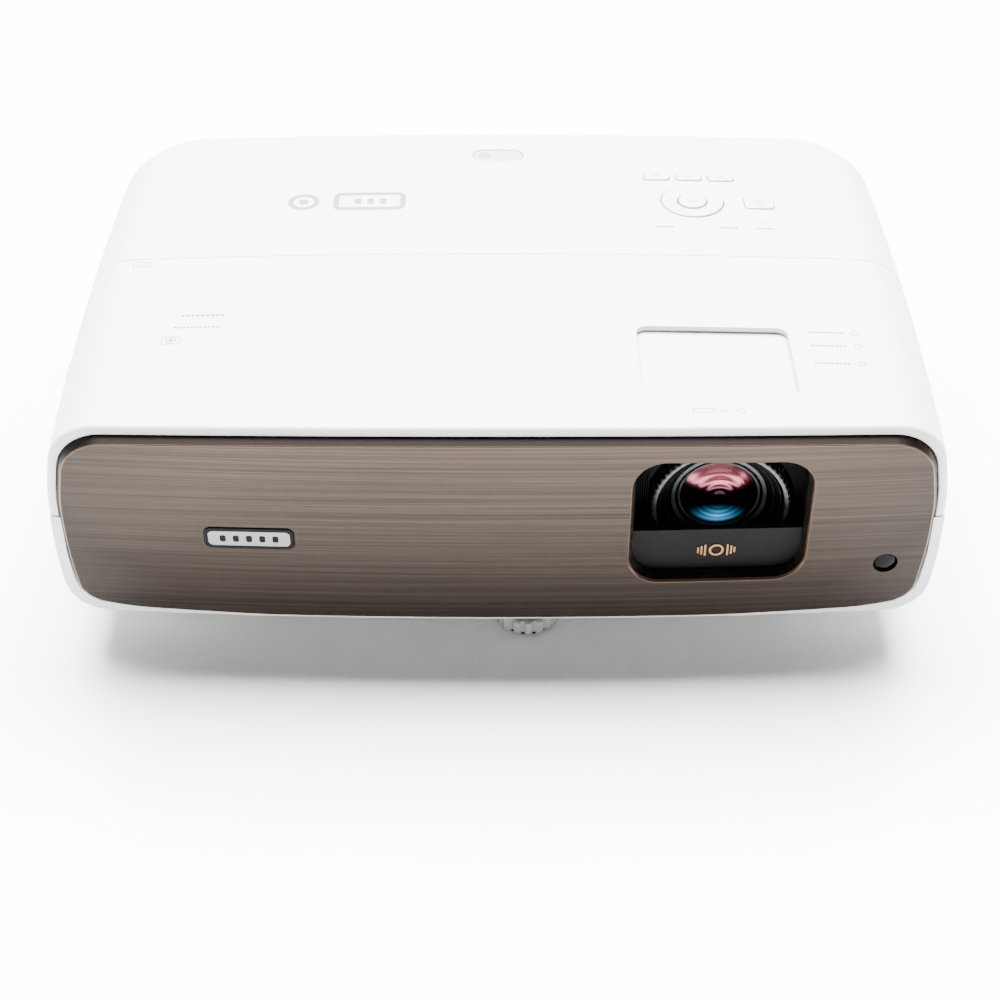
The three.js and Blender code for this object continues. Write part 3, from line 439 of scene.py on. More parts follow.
STEEL = Finish(
    "nickel_plated_steel", "steel_parts", "#707173", 0.28, 1.0, grain_mm=1.2, grain_depth=0.04
)
BRASS_PIN = Finish(
    "brass_contact", "steel_parts", "#7E6230", 0.3, 1.0, grain_mm=1.0, grain_depth=0.03
)
ALLOY = Finish("die_cast_alloy", "cast_alloy", "#626466", 0.5, 0.9, grain_mm=0.9, grain_depth=0.3)
BOARD = Laminate("circuit_board_green", "green_board", "#1B4A30", 0.4)
RUBBER = Finish(
    "black_rubber", "foot_rubber", "#090909", 0.85, grain_mm=0.8, grain_depth=0.3, specular=0.05
)
PALE = Finish("pale_infrared_window", "pale_window", "#A9A9A8", 0.22, coat=0.3, grain_depth=0.02)
LIGHT_PIPE = Finish("clear_acrylic_pin", "clear_parts", "#DDE3E8", 0.12, coat=0.4, grain_depth=0.02)
MACHINE = Finish("dichroic_wheel", "clear_parts", "#8FB2C8", 0.08, 0.6, coat=0.5, grain_depth=0.02)
FLOOR = Finish("pale_floor", "white_shell", "#FFFFFF", 0.2, grain_mm=4.0, grain_depth=0.0)


# ------------------------------------------------------------------ shaping tools
def box_mm(node: str) -> tuple[Vector, Vector]:
    """Lowest and highest corner of a frame node, in millimetres."""
    low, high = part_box(node)
    return low / MM, high / MM


@dataclass(frozen=True)
class Corner:
    """A corner of an outline in two axes, with the radius that rounds it."""

    u: float
    v: float
    radius: float = 0.0
    steps: int = 8
    after: int = 1


@dataclass(frozen=True)
class Spot:
    """A point of an outline and the direction out of it."""

    u: float
    v: float
    out_u: float
    out_v: float

    def inset(self, distance: float) -> tuple[float, float]:
        """Returns the point moved inwards."""
        return self.u - self.out_u * distance, self.v - self.out_v * distance


def between(a: Spot, b: Spot, share: float) -> Spot:
    """Returns the spot at a share of the way from one spot to another."""
    mixed = (x + (y - x) * share for x, y in zip(astuple(a), astuple(b)))
    return Spot(*mixed)


def rounded(corners: Sequence[Corner]) -> list[Spot]:
    """Walks round an outline whose corners are arcs.

    Args:
        corners: the corners, anticlockwise; after says how many pieces the straight behind each one has.

    Returns:
        The points, each with its outward direction.
    """
    arcs: list[list[Spot]] = []
    count = len(corners)
    for i, corner in enumerate(corners):
        here = Vector((corner.u, corner.v))
        before, after = corners[i - 1], corners[(i + 1) % count]
        back = (Vector((before.u, before.v)) - here).normalized()
        on = (Vector((after.u, after.v)) - here).normalized()
        half = back.angle(on) / 2
        edge = min(math.dist((before.u, before.v), here), math.dist((after.u, after.v), here))
        run = min(corner.radius / math.tan(half), 0.499 * edge)
        middle = here + (back + on).normalized() * (run / math.cos(half))
        start = here + back * run - middle
        sweep = math.pi - 2 * half
        arc = []
        for k in range(corner.steps + 1):
            turn = Matrix.Rotation(sweep * k / corner.steps, 2) @ start
            arc.append(Spot(*(middle + turn), *turn.normalized()))
        arcs.append(arc)
    spots: list[Spot] = []
    for i, (corner, arc) in enumerate(zip(corners, arcs)):
        spots += arc
        ahead = arcs[(i + 1) % count][0]
        spots += [between(arc[-1], ahead, k / corner.after) for k in range(1, corner.after)]
    return spots


def rectangle(
    u: float, v: float, width: float, height: float, radius: float, steps: int = 8, after: int = 1
) -> list[Corner]:
    """Corners of a rounded rectangle round its centre."""
    w, h = width / 2, height / 2
    signs = ((-1, -1), (1, -1), (1, 1), (-1, 1))
    return [Corner(u + a * w, v + b * h, radius, steps, after) for a, b in signs]


def rows_of(spots: Sequence[Spot], axis: Axis, section: Iterable[tuple[float, float]]) -> list[list[Vector]]:
    """Returns the loops that a section draws round an outline.

    Args:
        spots: the outline; (u, v) are the other two axes in order.
        axis: the direction across the outline.
        section: (inset, place along the axis) of each loop.
    """
    rows = []
    for inset, height in section:
        places = [list(spot.inset(inset)) for spot in spots]
        for place in places:
            place.insert(axis.value, height)
        rows.append([Vector(place) for place in places])
    return rows


def loft(rows: Sequence[Sequence[Vector]], ring: bool = False, capped: bool = True) -> bmesh.types.BMesh:
    """Lays a grid over rows of points, each row a closed loop.

    Args:
        rows: loops with the same number of points, in millimetres.
        ring: joins the last row to the first, as in a tube bent into a ring.
        capped: closes open ends with a face.

    Returns:
        The mesh, in metres.
    """
    table = [list(row) + [row[0]] for row in rows]
    if ring:
        table.append(table[0])
    mesh = bmesh.new()
    bmesh.ops.create_grid(mesh, x_segments=len(table[0]) - 1, y_segments=len(table) - 1, size=1.0)
    order = sorted(mesh.verts, key=lambda vert: (round(vert.co.y, 5), round(vert.co.x, 5)))
    flat = [point for row in table for point in row]
    for vert, point in zip(order, flat, strict=True):
        vert.co = Vector(point) * MM
    bmesh.ops.remove_doubles(mesh, verts=mesh.verts, dist=1e-6)
    bmesh.ops.dissolve_degenerate(mesh, edges=mesh.edges, dist=1e-7)
    if capped:
        bmesh.ops.holes_fill(mesh, edges=[e for e in mesh.edges if e.is_boundary], sides=0)
    bmesh.ops.recalc_face_normals(mesh, faces=mesh.faces)
    return mesh


def turned(
    profile: Sequence[tuple[float, float]], axis: Axis, centre: Sequence[float], steps: int = 64
) -> bmesh.types.BMesh:
    """Spins a closed profile into a solid.

    Args:
        profile: (radius, place along the axis) of each corner, in millimetres.
        axis: the axis of the spin.
        centre: a point on the axis, in millimetres.
        steps: facets round the axis.

    Returns:
        The mesh, in metres.
    """
    mesh = bmesh.new()
    across = Vector((0, 0, 1)) if axis is not Axis.Z else Vector((1, 0, 0))
    along = Vector([float(axis.value == i) for i in range(3)])
    middle = Vector(centre)
    verts = [
        mesh.verts.new((middle + across * radius + along * (place - middle[axis.value])) * MM)
        for radius, place in profile
    ]
    edges = [mesh.edges.new((a, b)) for a, b in zip(verts, verts[1:] + verts[:1])]
    bmesh.ops.spin(
        mesh,
        geom=verts + edges,
        cent=middle * MM,
        axis=along,
        angle=math.tau,
        steps=steps,
        use_merge=True,
    )
    bmesh.ops.remove_doubles(mesh, verts=mesh.verts, dist=1e-6)
    bmesh.ops.dissolve_degenerate(mesh, edges=mesh.edges, dist=1e-7)
    bmesh.ops.recalc_face_normals(mesh, faces=mesh.faces)
    return mesh


def block(
    low: Sequence[float], high: Sequence[float], edge: float = 0.0, segments: int = 2
) -> bmesh.types.BMesh:
    """A box between two corners in millimetres, its edges rounded."""
    mesh = bmesh.new()
    bmesh.ops.create_cube(mesh, size=1.0)
    size = [b - a for a, b in zip(low, high)]
    middle = [(a + b) / 2 for a, b in zip(low, high)]
    bmesh.ops.scale(mesh, vec=Vector(size) * MM, verts=mesh.verts)
    bmesh.ops.translate(mesh, vec=Vector(middle) * MM, verts=mesh.verts)
    if edge:
        bmesh.ops.bevel(
            mesh,
            geom=mesh.edges[:],
            offset=edge * MM,
            affect="EDGES",
            segments=segments,
            profile=0.5,
            material=-1,
        )
    return mesh


def slab(
    spots: Sequence[Spot], axis: Axis, low: float, high: float, edge: float = 0.0, steps: int = 3
) -> bmesh.types.BMesh:
    """An outline raised along an axis, with its far rim rounded.

    Args:
        spots: the outline; (u, v) are the other two axes in order.
        axis: the direction of the height.
        low: start of the height.
        high: end of the height, where the rounded rim lies.
        edge: radius of that rim.
        steps: facets of the rim.

    Returns:
        The mesh, in metres.
    """
    way = 1 if high > low else -1
    section = [(0.0, low)]
    for k in range(steps + 1):
        turn = math.pi / 2 * k / steps
        section.append((edge * (1 - math.cos(turn)), high - way * edge * (1 - math.sin(turn))))
    return loft(rows_of(spots, axis, section))


def circle(
    centre: tuple[float, float], radius: float | Sequence[float], steps: int, axis: Axis, place: float
) -> list[Vector]:
    """Returns a loop round an axis.

    Args:
        centre: its middle in the other two axes.
        radius: one radius, or one for each step, repeated round the loop.
        steps: points of the loop.
        axis: the axis that it goes round.
        place: its place along the axis.
    """
    radii = radius if isinstance(radius, Sequence) else (radius,)
    row = []
    for k in range(steps):
        turn, reach = math.tau * k / steps, radii[k % len(radii)]
        spot = [centre[0] + reach * math.cos(turn), centre[1] + reach * math.sin(turn)]
        spot.insert(axis.value, place)
        row.append(Vector(spot))
    return row


def hoop(spots: Sequence[Spot], axis: Axis, section: Iterable[tuple[float, float]]) -> bmesh.types.BMesh:
    """Returns a closed ring: a section carried round an outline."""
    return loft(rows_of(spots, axis, section), ring=True, capped=False)


def drum(
    axis: Axis, centre: Sequence[float], radius: float, low: float, high: float, steps: int
) -> bmesh.types.BMesh:
    """Returns a solid cylinder between two places along its axis, in millimetres."""
    return turned([(0, low), (radius, low), (radius, high), (0, high)], axis, centre, steps)


def middle_of(low: Vector, high: Vector) -> tuple[float, float]:
    """Returns the middle of a box in X and Z."""
    return (low.x + high.x) / 2, (low.z + high.z) / 2


def merged(meshes: Iterable[bmesh.types.BMesh]) -> bmesh.types.BMesh:
    """Puts several meshes into one and frees them."""
    whole = bmesh.new()
    for part in meshes:
        scratch = bpy.data.meshes.new("scratch")
        part.to_mesh(scratch)
        whole.from_mesh(scratch)
        part.free()
        bpy.data.meshes.remove(scratch)
    return whole


def to_object(name: str, mesh: bmesh.types.BMesh) -> bpy.types.Object:
    """Makes a mesh an object of the scene and frees the mesh."""
    data = bpy.data.meshes.new(name)
    mesh.to_mesh(data)
    mesh.free()
    made = bpy.data.objects.new(name, data)
    bpy.context.scene.collection.objects.link(made)
    return made


def apply_modifiers(item: bpy.types.Object) -> None:
    """Makes an object's mesh what its modifiers show."""
    bpy.context.view_layer.update()
    graph = bpy.context.evaluated_depsgraph_get()
    data = bpy.data.meshes.new_from_object(item.evaluated_get(graph))
    item.modifiers.clear()
    old = item.data
    item.data = data
    data.name = old.name
    bpy.data.meshes.remove(old)


def carve(item: bpy.types.Object, cutters: Iterable[bmesh.types.BMesh]) -> None:
    """Cuts other meshes out of an object.

    Args:
        item: the object.
        cutters: closed meshes that don't touch each other.
    """
    tool = to_object(f"{item.name}_cutter", merged(cutters))
    cut = item.modifiers.new("cut", "BOOLEAN")
    cut.operation = "DIFFERENCE"
    cut.solver = "EXACT"
    cut.object = tool
    apply_modifiers(item)
    old = tool.data
    bpy.data.objects.remove(tool)
    bpy.data.meshes.remove(old)


def soften(item: bpy.types.Object, width: float, angle: float = 40.0, segments: int = 2) -> None:
    """Rounds the sharp edges of an object by a width in millimetres."""
    bevel = item.modifiers.new("edges", "BEVEL")
    bevel.width = width * MM
    bevel.segments = segments
    bevel.limit_method = "ANGLE"
    bevel.angle_limit = math.radians(angle)
    bevel.miter_outer = "MITER_ARC"
    apply_modifiers(item)


def dress(
    item: bpy.types.Object | bmesh.types.BMesh,
    finish: Finish,
    body: str = CHASSIS,
    stands_for: Sequence[str] = (),
    name: str = "",
    sharp: float = 32.0,
) -> bpy.types.Object:
    """Gives a piece its finish, its shading, its body and the frame nodes that it stands for.

    Args:
        item: an object, or a mesh to make one from.
        finish: the surface.
        body: the frame body that it rides on.
        stands_for: frame nodes that it replaces.
        name: its name, where item is a mesh.
        sharp: edges that turn by more than this many degrees stay crisp.

    Returns:
        The piece.
    """
    piece = item if isinstance(item, bpy.types.Object) else to_object(name, item)
    piece.data.materials.clear()
    piece.data.materials.append(finish.material())
    piece.data.shade_smooth()
    piece.data.set_sharp_from_angle(angle=math.radians(sharp))
    weighted = piece.modifiers.new("normals", "WEIGHTED_NORMAL")
    weighted.keep_sharp = True
    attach(piece, body)
    if stands_for:
        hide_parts(*stands_for)
    LOG.info("%s: %d faces, rides on %s", piece.name, len(piece.data.polygons), body)
    return piece


# ------------------------------------------------------------------ the form that the casing and panel share
@dataclass(frozen=True)
class CaseForm:
    """The outer form in millimetres: a wide, low body with a curved, leaning front."""

    half: float = 189.85
    top: float = 129.9
    bottom: float = 21.05
    front: float = -131.0
    rear: float = 131.45
    crown: float = 3.9
    crown_reach: float = 183.0
    face_radius: float = 2570.0
    face_lean: float = math.radians(4.6)
    bow: float = 2.9
    widest_y: float = -15.0
    corner_rear: float = 30.0
    edge_rear: float = 6.0
    rear_slope: float = 10.0
    rear_break: float = 100.0
    panel_proud: float = 4.0
    rim: float = 4.4

    def outline(self) -> list[Spot]:
        """Returns the casing's front outline in X and Z, before the crown lifts its top."""
        side, shoulder = self.half, self.top - self.crown
        return self.mirrored(
            [
                Corner(100, self.bottom + 0.4, 400, 3, 6),
                Corner(163, self.bottom + 2.3, 150, 3, 2),
                Corner(184.5, self.bottom + 6.6, 22, 10, 3),
                Corner(side, self.bottom + 39, 200, 3, 3),
                Corner(side, self.bottom + 66, 100, 4, 3),
                Corner(side - 6.4, shoulder, 26, 12, 24),
            ]
        )

    def panel_outline(self) -> list[Spot]:
        """Returns the mouth's outline; its points pair up with those of the casing's outline."""
        side, shoulder = self.half - 4.1, self.top - self.crown - 4.3
        return self.mirrored(
            [
                Corner(101.5, self.bottom + 1.9, 400, 3, 6),
                Corner(162.5, self.bottom + 4.2, 150, 3, 2),
                Corner(182.6, self.bottom + 9.4, 19, 10, 3),
                Corner(side, self.bottom + 39, 200, 3, 3),
                Corner(side, self.bottom + 66, 100, 4, 3),
                Corner(side - 5.6, shoulder, 21, 12, 24),
            ]
        )

    def mirrored(self, right: Sequence[Corner]) -> list[Spot]:
        """Returns the spots of an outline whose left half mirrors its right.

        Args:
            right: the corners from the bottom up, each with the pieces of the straight behind it.
        """
        pieces = [corner.after for corner in right]
        left = [Corner(-c.u, c.v, c.radius, c.steps, n) for c, n in zip(reversed(right), [*pieces[-2::-1], 16])]
        return rounded([*right, *left])

    def lift(self, x: float, z: float) -> float:
        """Returns the height of a point once the top is crowned."""
        share = min(max((z - 60) / (self.top - self.crown - 60), 0), 1)
        return z + self.crown * max(0.0, 1 - (x / self.crown_reach) ** 2) * share

    def bowed(self, x: float, y: float) -> float:
        """Returns X once the sides are drawn in towards front and rear."""
        return x * (1 - self.bow / 190 * ((y - self.widest_y) / 116.5) ** 2)

    def face_y(self, x: float, z: float) -> float:
        """Returns the depth of the panel's face at a place."""
        return self.front + x * x / (2 * self.face_radius) + (self.top - z) * math.tan(self.face_lean)

    def on_face(self, point: Vector) -> Vector:
        """Maps a point given as (x, depth behind the face, z) to the frame."""
        z = self.lift(point.x, point.z)
        y = self.face_y(point.x, z) + point.y
        return Vector((self.bowed(point.x, y), y, z))

    def top_z(self, x: float) -> float:
        """Returns the height of the top surface."""
        return self.top - self.crown * (x / self.crown_reach) ** 2


FORM = CaseForm()


def bend(item: bpy.types.Object, mapping: Callable[[Vector], Vector]) -> bpy.types.Object:
    """Moves each point of an object by a mapping in millimetres."""
    for vert in item.data.vertices:
        vert.co = mapping(vert.co / MM) * MM
    return item


def sliced(mesh: bmesh.types.BMesh, axis: Axis, low: float, high: float, pitch: float) -> bmesh.types.BMesh:
    """Cuts a mesh along planes across an axis, so that it can bend.

    Args:
        mesh: the mesh.
        axis: the direction across the planes.
        low: where the planes start, in millimetres.
        high: where they end.
        pitch: distance between them.

    Returns:
        The same mesh.
    """
    normal = [float(axis.value == i) for i in range(3)]
    for k in range(int((high - low) / pitch) + 1):
        place = Vector(normal) * ((low + k * pitch) * MM)
        geometry = mesh.verts[:] + mesh.edges[:] + mesh.faces[:]
        bmesh.ops.bisect_plane(mesh, geom=geometry, dist=1e-6, plane_co=place, plane_no=normal)
    return mesh


@dataclass(frozen=True)
class Cut:
    """A plane that keeps what lies on its inner side."""

    place: tuple[float, float, float]
    out: tuple[float, float, float]


def above(axis: Axis, value: float) -> Cut:
    """Keeps what lies above a value."""
    spot = [0.0, 0.0, 0.0]
    spot[axis.value] = value
    return Cut(tuple(spot), tuple(-float(axis.value == i) for i in range(3)))


def below(axis: Axis, value: float) -> Cut:
    """Keeps what lies below a value."""
    spot = [0.0, 0.0, 0.0]
    spot[axis.value] = value
    return Cut(tuple(spot), tuple(float(axis.value == i) for i in range(3)))


def kept(mesh: bmesh.types.BMesh, cuts: Sequence[Cut]) -> bmesh.types.BMesh:
    """Returns a copy of a mesh with everything outside the cuts gone."""
    part = mesh.copy()
    for cut in cuts:
        geometry = part.verts[:] + part.edges[:] + part.faces[:]
        place = Vector(cut.place) * MM
        bmesh.ops.bisect_plane(
            part, geom=geometry, dist=1e-7, plane_co=place, plane_no=cut.out, clear_outer=True
        )
    return part


# ------------------------------------------------------------------ casing
@dataclass
class Casing:
    """The white shell: bezel and front cover, rear cover, bottom tray and the two side bands."""

    skin: float = 2.2
    gap: float = 0.22
    seam_top_y: float = 5.4
    seam_upper: float = 109.5
    seam_lower: float = 76.0
    band_rear_y: float = 92.0
    bezel_y: float = -112.0
    lip_depth: float = 9.0
    lip_round: float = 0.6
    lip_share: float = 0.2
    rim_round: float = 2.2
    rim_share: float = 0.6
    louvre_count: int = 5
    louvre_height: float = 3.0
    lamp_door: tuple[float, float, float, float] = (-29.0, 92.75, 66.0, 27.5)
    grip_x: float = -189.8
    shell: bmesh.types.BMesh | None = field(default=None, repr=False)

    def skin_point(self, spot: Spot, inset: float, y: float) -> Vector:
        """Returns a point of the skin at a depth, with the rear corners and edges drawn in."""
        x, z = spot.inset(inset)
        z = FORM.lift(x, z)
        turn_x = min(max((y - (FORM.rear - FORM.corner_rear)) / FORM.corner_rear, 0), 1)
        turn_z = min(max((y - (FORM.rear - FORM.edge_rear)) / FORM.edge_rear, 0), 1)
        narrow = FORM.corner_rear * (1 - math.sqrt(1 - turn_x * turn_x)) / FORM.half
        middle = (FORM.top + FORM.bottom) / 2
        flat = FORM.edge_rear * (1 - math.sqrt(1 - turn_z * turn_z)) / (FORM.top - middle)
        return Vector((FORM.bowed(x * (1 - narrow), y), y, middle + (z - middle) * (1 - flat)))

    def front_row(self, spots: Sequence[Spot], insets: Sequence[float], depths: Sequence[float]) -> list[Vector]:
        """Returns a row that follows the leaning, curved front.

        Args:
            spots: an outline.
            insets: how far each spot is moved inwards.
            depths: how far each spot lies behind the rim's front.
        """
        row = []
        for spot, inset, behind in zip(spots, insets, depths):
            x, z = spot.inset(inset)
            y = FORM.face_y(x, FORM.lift(x, z)) + FORM.panel_proud + behind
            row.append(self.skin_point(spot, inset, y))
        return row

    def build_shell(self) -> None:
        """Builds the whole skin as one mesh, open at the mouth."""
        spots, mouth = FORM.outline(), FORM.panel_outline()
        rims = [math.dist((a.u, a.v), (b.u, b.v)) for a, b in zip(spots, mouth)]
        rows = [self.front_row(mouth, [0.0] * len(mouth), [self.lip_depth] * len(mouth))]
        for k in range(6):
            turn = math.pi / 2 * k / 5
            rounds = [min(self.lip_round, self.lip_share * rim) for rim in rims]
            grows = [-r * (1 - math.cos(turn)) for r in rounds]
            rows.append(self.front_row(mouth, grows, [r * (1 - math.sin(turn)) for r in rounds]))
        for k in range(9):
            turn = math.pi / 2 * k / 8
            rounds = [min(self.rim_round, self.rim_share * rim) for rim in rims]
            insets = [r * (1 - math.sin(turn)) for r in rounds]
            rows.append(self.front_row(spots, insets, [r * (1 - math.cos(turn)) for r in rounds]))
        near = rows[-1]
        last = -40.0
        for k in range(1, 9):
            share = k / 8
            row = [
                self.skin_point(spot, 0, point.y + (last - point.y) * share) for spot, point in zip(spots, near)
            ]
            rows.append(row)
        start = FORM.rear - FORM.corner_rear
        for k in range(1, 9):
            rows.append([self.skin_point(spot, 0, last + (start - last) * k / 8) for spot in spots])
        for k in range(1, 25):
            y = start + FORM.corner_rear * math.sin(math.pi / 2 * k / 24)
            rows.append([self.skin_point(spot, 0, y) for spot in spots])
        self.shell = loft(rows, capped=False)
        rim = [edge for edge in self.shell.edges if edge.is_boundary and edge.verts[0].co.y > 0]
        bmesh.ops.holes_fill(self.shell, edges=rim, sides=0)
        sliced(self.shell, Axis.Z, FORM.rear_break, FORM.rear_break, 1)
        bmesh.ops.recalc_face_normals(self.shell, faces=self.shell.faces)
        for vert in self.shell.verts:
            y, z = vert.co.y / MM, vert.co.z / MM
            climb = max(0.0, (z - FORM.rear_break) / (FORM.top - FORM.rear_break))
            vert.co.y -= FORM.rear_slope * climb * min(max((y - 20) / 111, 0), 1) * MM

    def bezel_cut(self, gap: float, front: bool) -> Cut:
        """Returns the leaning plane between the bezel and the sides."""
        lean = math.tan(FORM.face_lean)
        way = 1.0 if front else -1.0
        normal = Vector((0, 1, lean)).normalized() * way
        return Cut((0, self.bezel_y - way * gap, FORM.top), tuple(normal))

    def piece(self, name: str, zones: Sequence[Sequence[Cut]]) -> bpy.types.Object:
        """Returns a walled piece of the shell, joined from one or more zones."""
        part = merged([kept(self.shell, zone) for zone in zones])
        bmesh.ops.remove_doubles(part, verts=part.verts, dist=1e-6)
        bmesh.ops.recalc_face_normals(part, faces=part.faces)
        middle = Vector((0, 0, 0.07))
        facing = sum((f.normal.dot(f.calc_center_median() - middle) > 0) for f in part.faces)
        if facing * 2 < len(part.faces):
            bmesh.ops.reverse_faces(part, faces=part.faces)
        item = to_object(name, part)
        wall = item.modifiers.new("wall", "SOLIDIFY")
        wall.thickness = self.skin * MM
        wall.offset = -1
        wall.use_even_offset = False
        apply_modifiers(item)
        return item

    def louvres(self, side: Side, y0: float, y1: float) -> list[bmesh.types.BMesh]:
        """Returns cutters for a column of slots with round ends."""
        cutters = []
        pitch = (self.seam_upper - self.seam_lower - 6) / self.louvre_count
        for k in range(self.louvre_count):
            z = self.seam_lower + 3 + pitch * (k + 0.5)
            slot = rectangle((y0 + y1) / 2, z, y1 - y0, self.louvre_height, self.louvre_height / 2 - 0.01, 4)
            cutters.append(slab(rounded(slot), Axis.X, side.value * 165, side.value * 205))
        return cutters

    def build_front_cover(self, door: "AccessDoor") -> None:
        """Builds the bezel with the front cover, and opens it for the access door."""
        g = self.gap
        top = [above(Axis.Z, self.seam_upper + g), below(Axis.Y, self.seam_top_y - g)]
        zones = [[*top, self.bezel_cut(0, False)], [self.bezel_cut(0, True)]]
        item = self.piece("front_top_cover_skin", zones)
        carve(item, [door.opening()])
        soften(item, 0.35)
        dress(item, WHITE_ABS, stands_for=["front_top_cover"])

    def build_rear_cover(self, keypad: "Keypad") -> None:
        """Builds the rear cover and opens it for the keys and the pill window."""
        g = self.gap
        rear_y = self.band_rear_y + g
        zones = [
            [above(Axis.Z, self.seam_upper + g), above(Axis.Y, self.seam_top_y + g), below(Axis.Y, rear_y)],
            [above(Axis.Z, self.seam_lower + g), above(Axis.Y, rear_y)],
        ]
        item = self.piece("rear_top_cover_skin", zones)
        carve(item, keypad.openings())
        carve(item, [RearPanel().opening()])
        soften(item, 0.3)
        dress(item, WHITE_ABS, stands_for=["rear_top_cover"])

    def build_bottom(self) -> None:
        """Builds the bottom tray."""
        g = self.gap
        zone = [below(Axis.Z, self.seam_lower - g), self.bezel_cut(g, False)]
        item = self.piece("bottom_case_skin", [zone])
        carve(item, [RearPanel().opening()])
        self.bottom_details(item)
        soften(item, 0.3)
        dress(item, WHITE_ABS)

    def bottom_details(self, item: bpy.types.Object) -> None:
        """Cuts a patch of vents into the tray's floor."""
        cutters = []
        for column in (-60, 60):
            for k in range(7):
                spots = rounded(rectangle(column, -30 + 10 * k, 52, 3.2, 1.5, 4))
                cutters.append(slab(spots, Axis.Z, 10, 22.9))
        carve(item, cutters)

    def build_bands(self) -> None:
        """Builds the two side bands with their louvres, and the lamp door in the left one."""
        g = self.gap
        zone = [
            above(Axis.Z, self.seam_lower + g),
            below(Axis.Z, self.seam_upper - g),
            below(Axis.Y, self.band_rear_y - g),
            self.bezel_cut(g, False),
        ]
        right = self.piece("side_grille_right_skin", [[*zone, above(Axis.X, 0)]])
        carve(right, [*self.louvres(Side.RIGHT, -100, -8), *self.louvres(Side.RIGHT, 0, 84)])
        soften(right, 0.3)
        dress(right, WHITE_ABS, stands_for=["side_grille_right"])
        left = self.piece("side_grille_left_skin", [[*zone, below(Axis.X, 0)]])
        y, z, width, height = self.lamp_door
        spots = rounded(rectangle(y, z, width, height, 2, 4))
        grown = rounded(rectangle(y, z, width + 0.6, height + 0.6, 2.3, 4))
        lid = to_object("lamp_door_skin", slab(spots, Axis.X, -150, -200))
        other = self.piece("lamp_door_source", [[*zone, below(Axis.X, 0)]])
        meet = lid.modifiers.new("meet", "BOOLEAN")
        meet.operation, meet.solver, meet.object = "INTERSECT", "EXACT", other
        apply_modifiers(lid)
        bpy.data.objects.remove(other)
        carve(left, [slab(grown, Axis.X, -150, -200), *self.louvres(Side.LEFT, 22, 84)])
        soften(left, 0.3)
        soften(lid, 0.3)
        dress(left, WHITE_ABS, stands_for=["side_grille_left"])
        dress(lid, WHITE_ABS, "lamp_door", ["lamp_door"])
        start = box_mm("lamp_door")[0].x + 1
        bars = [rounded(rectangle(-48 + 2.6 * k, z, 1.1, 14, 0.5, 3)) for k in range(5)]
        grip = merged([slab(bar, Axis.X, start, self.grip_x, 0.3) for bar in bars])
        dress(grip, WHITE_ABS, "lamp_door", name="lamp_door_grip")

    def build(self, door: "AccessDoor", keypad: "Keypad") -> None:
        """Builds every piece of the casing."""
        self.build_shell()
        self.build_front_cover(door)
        self.build_rear_cover(keypad)
        self.build_bottom()
        self.build_bands()
        self.shell.free()


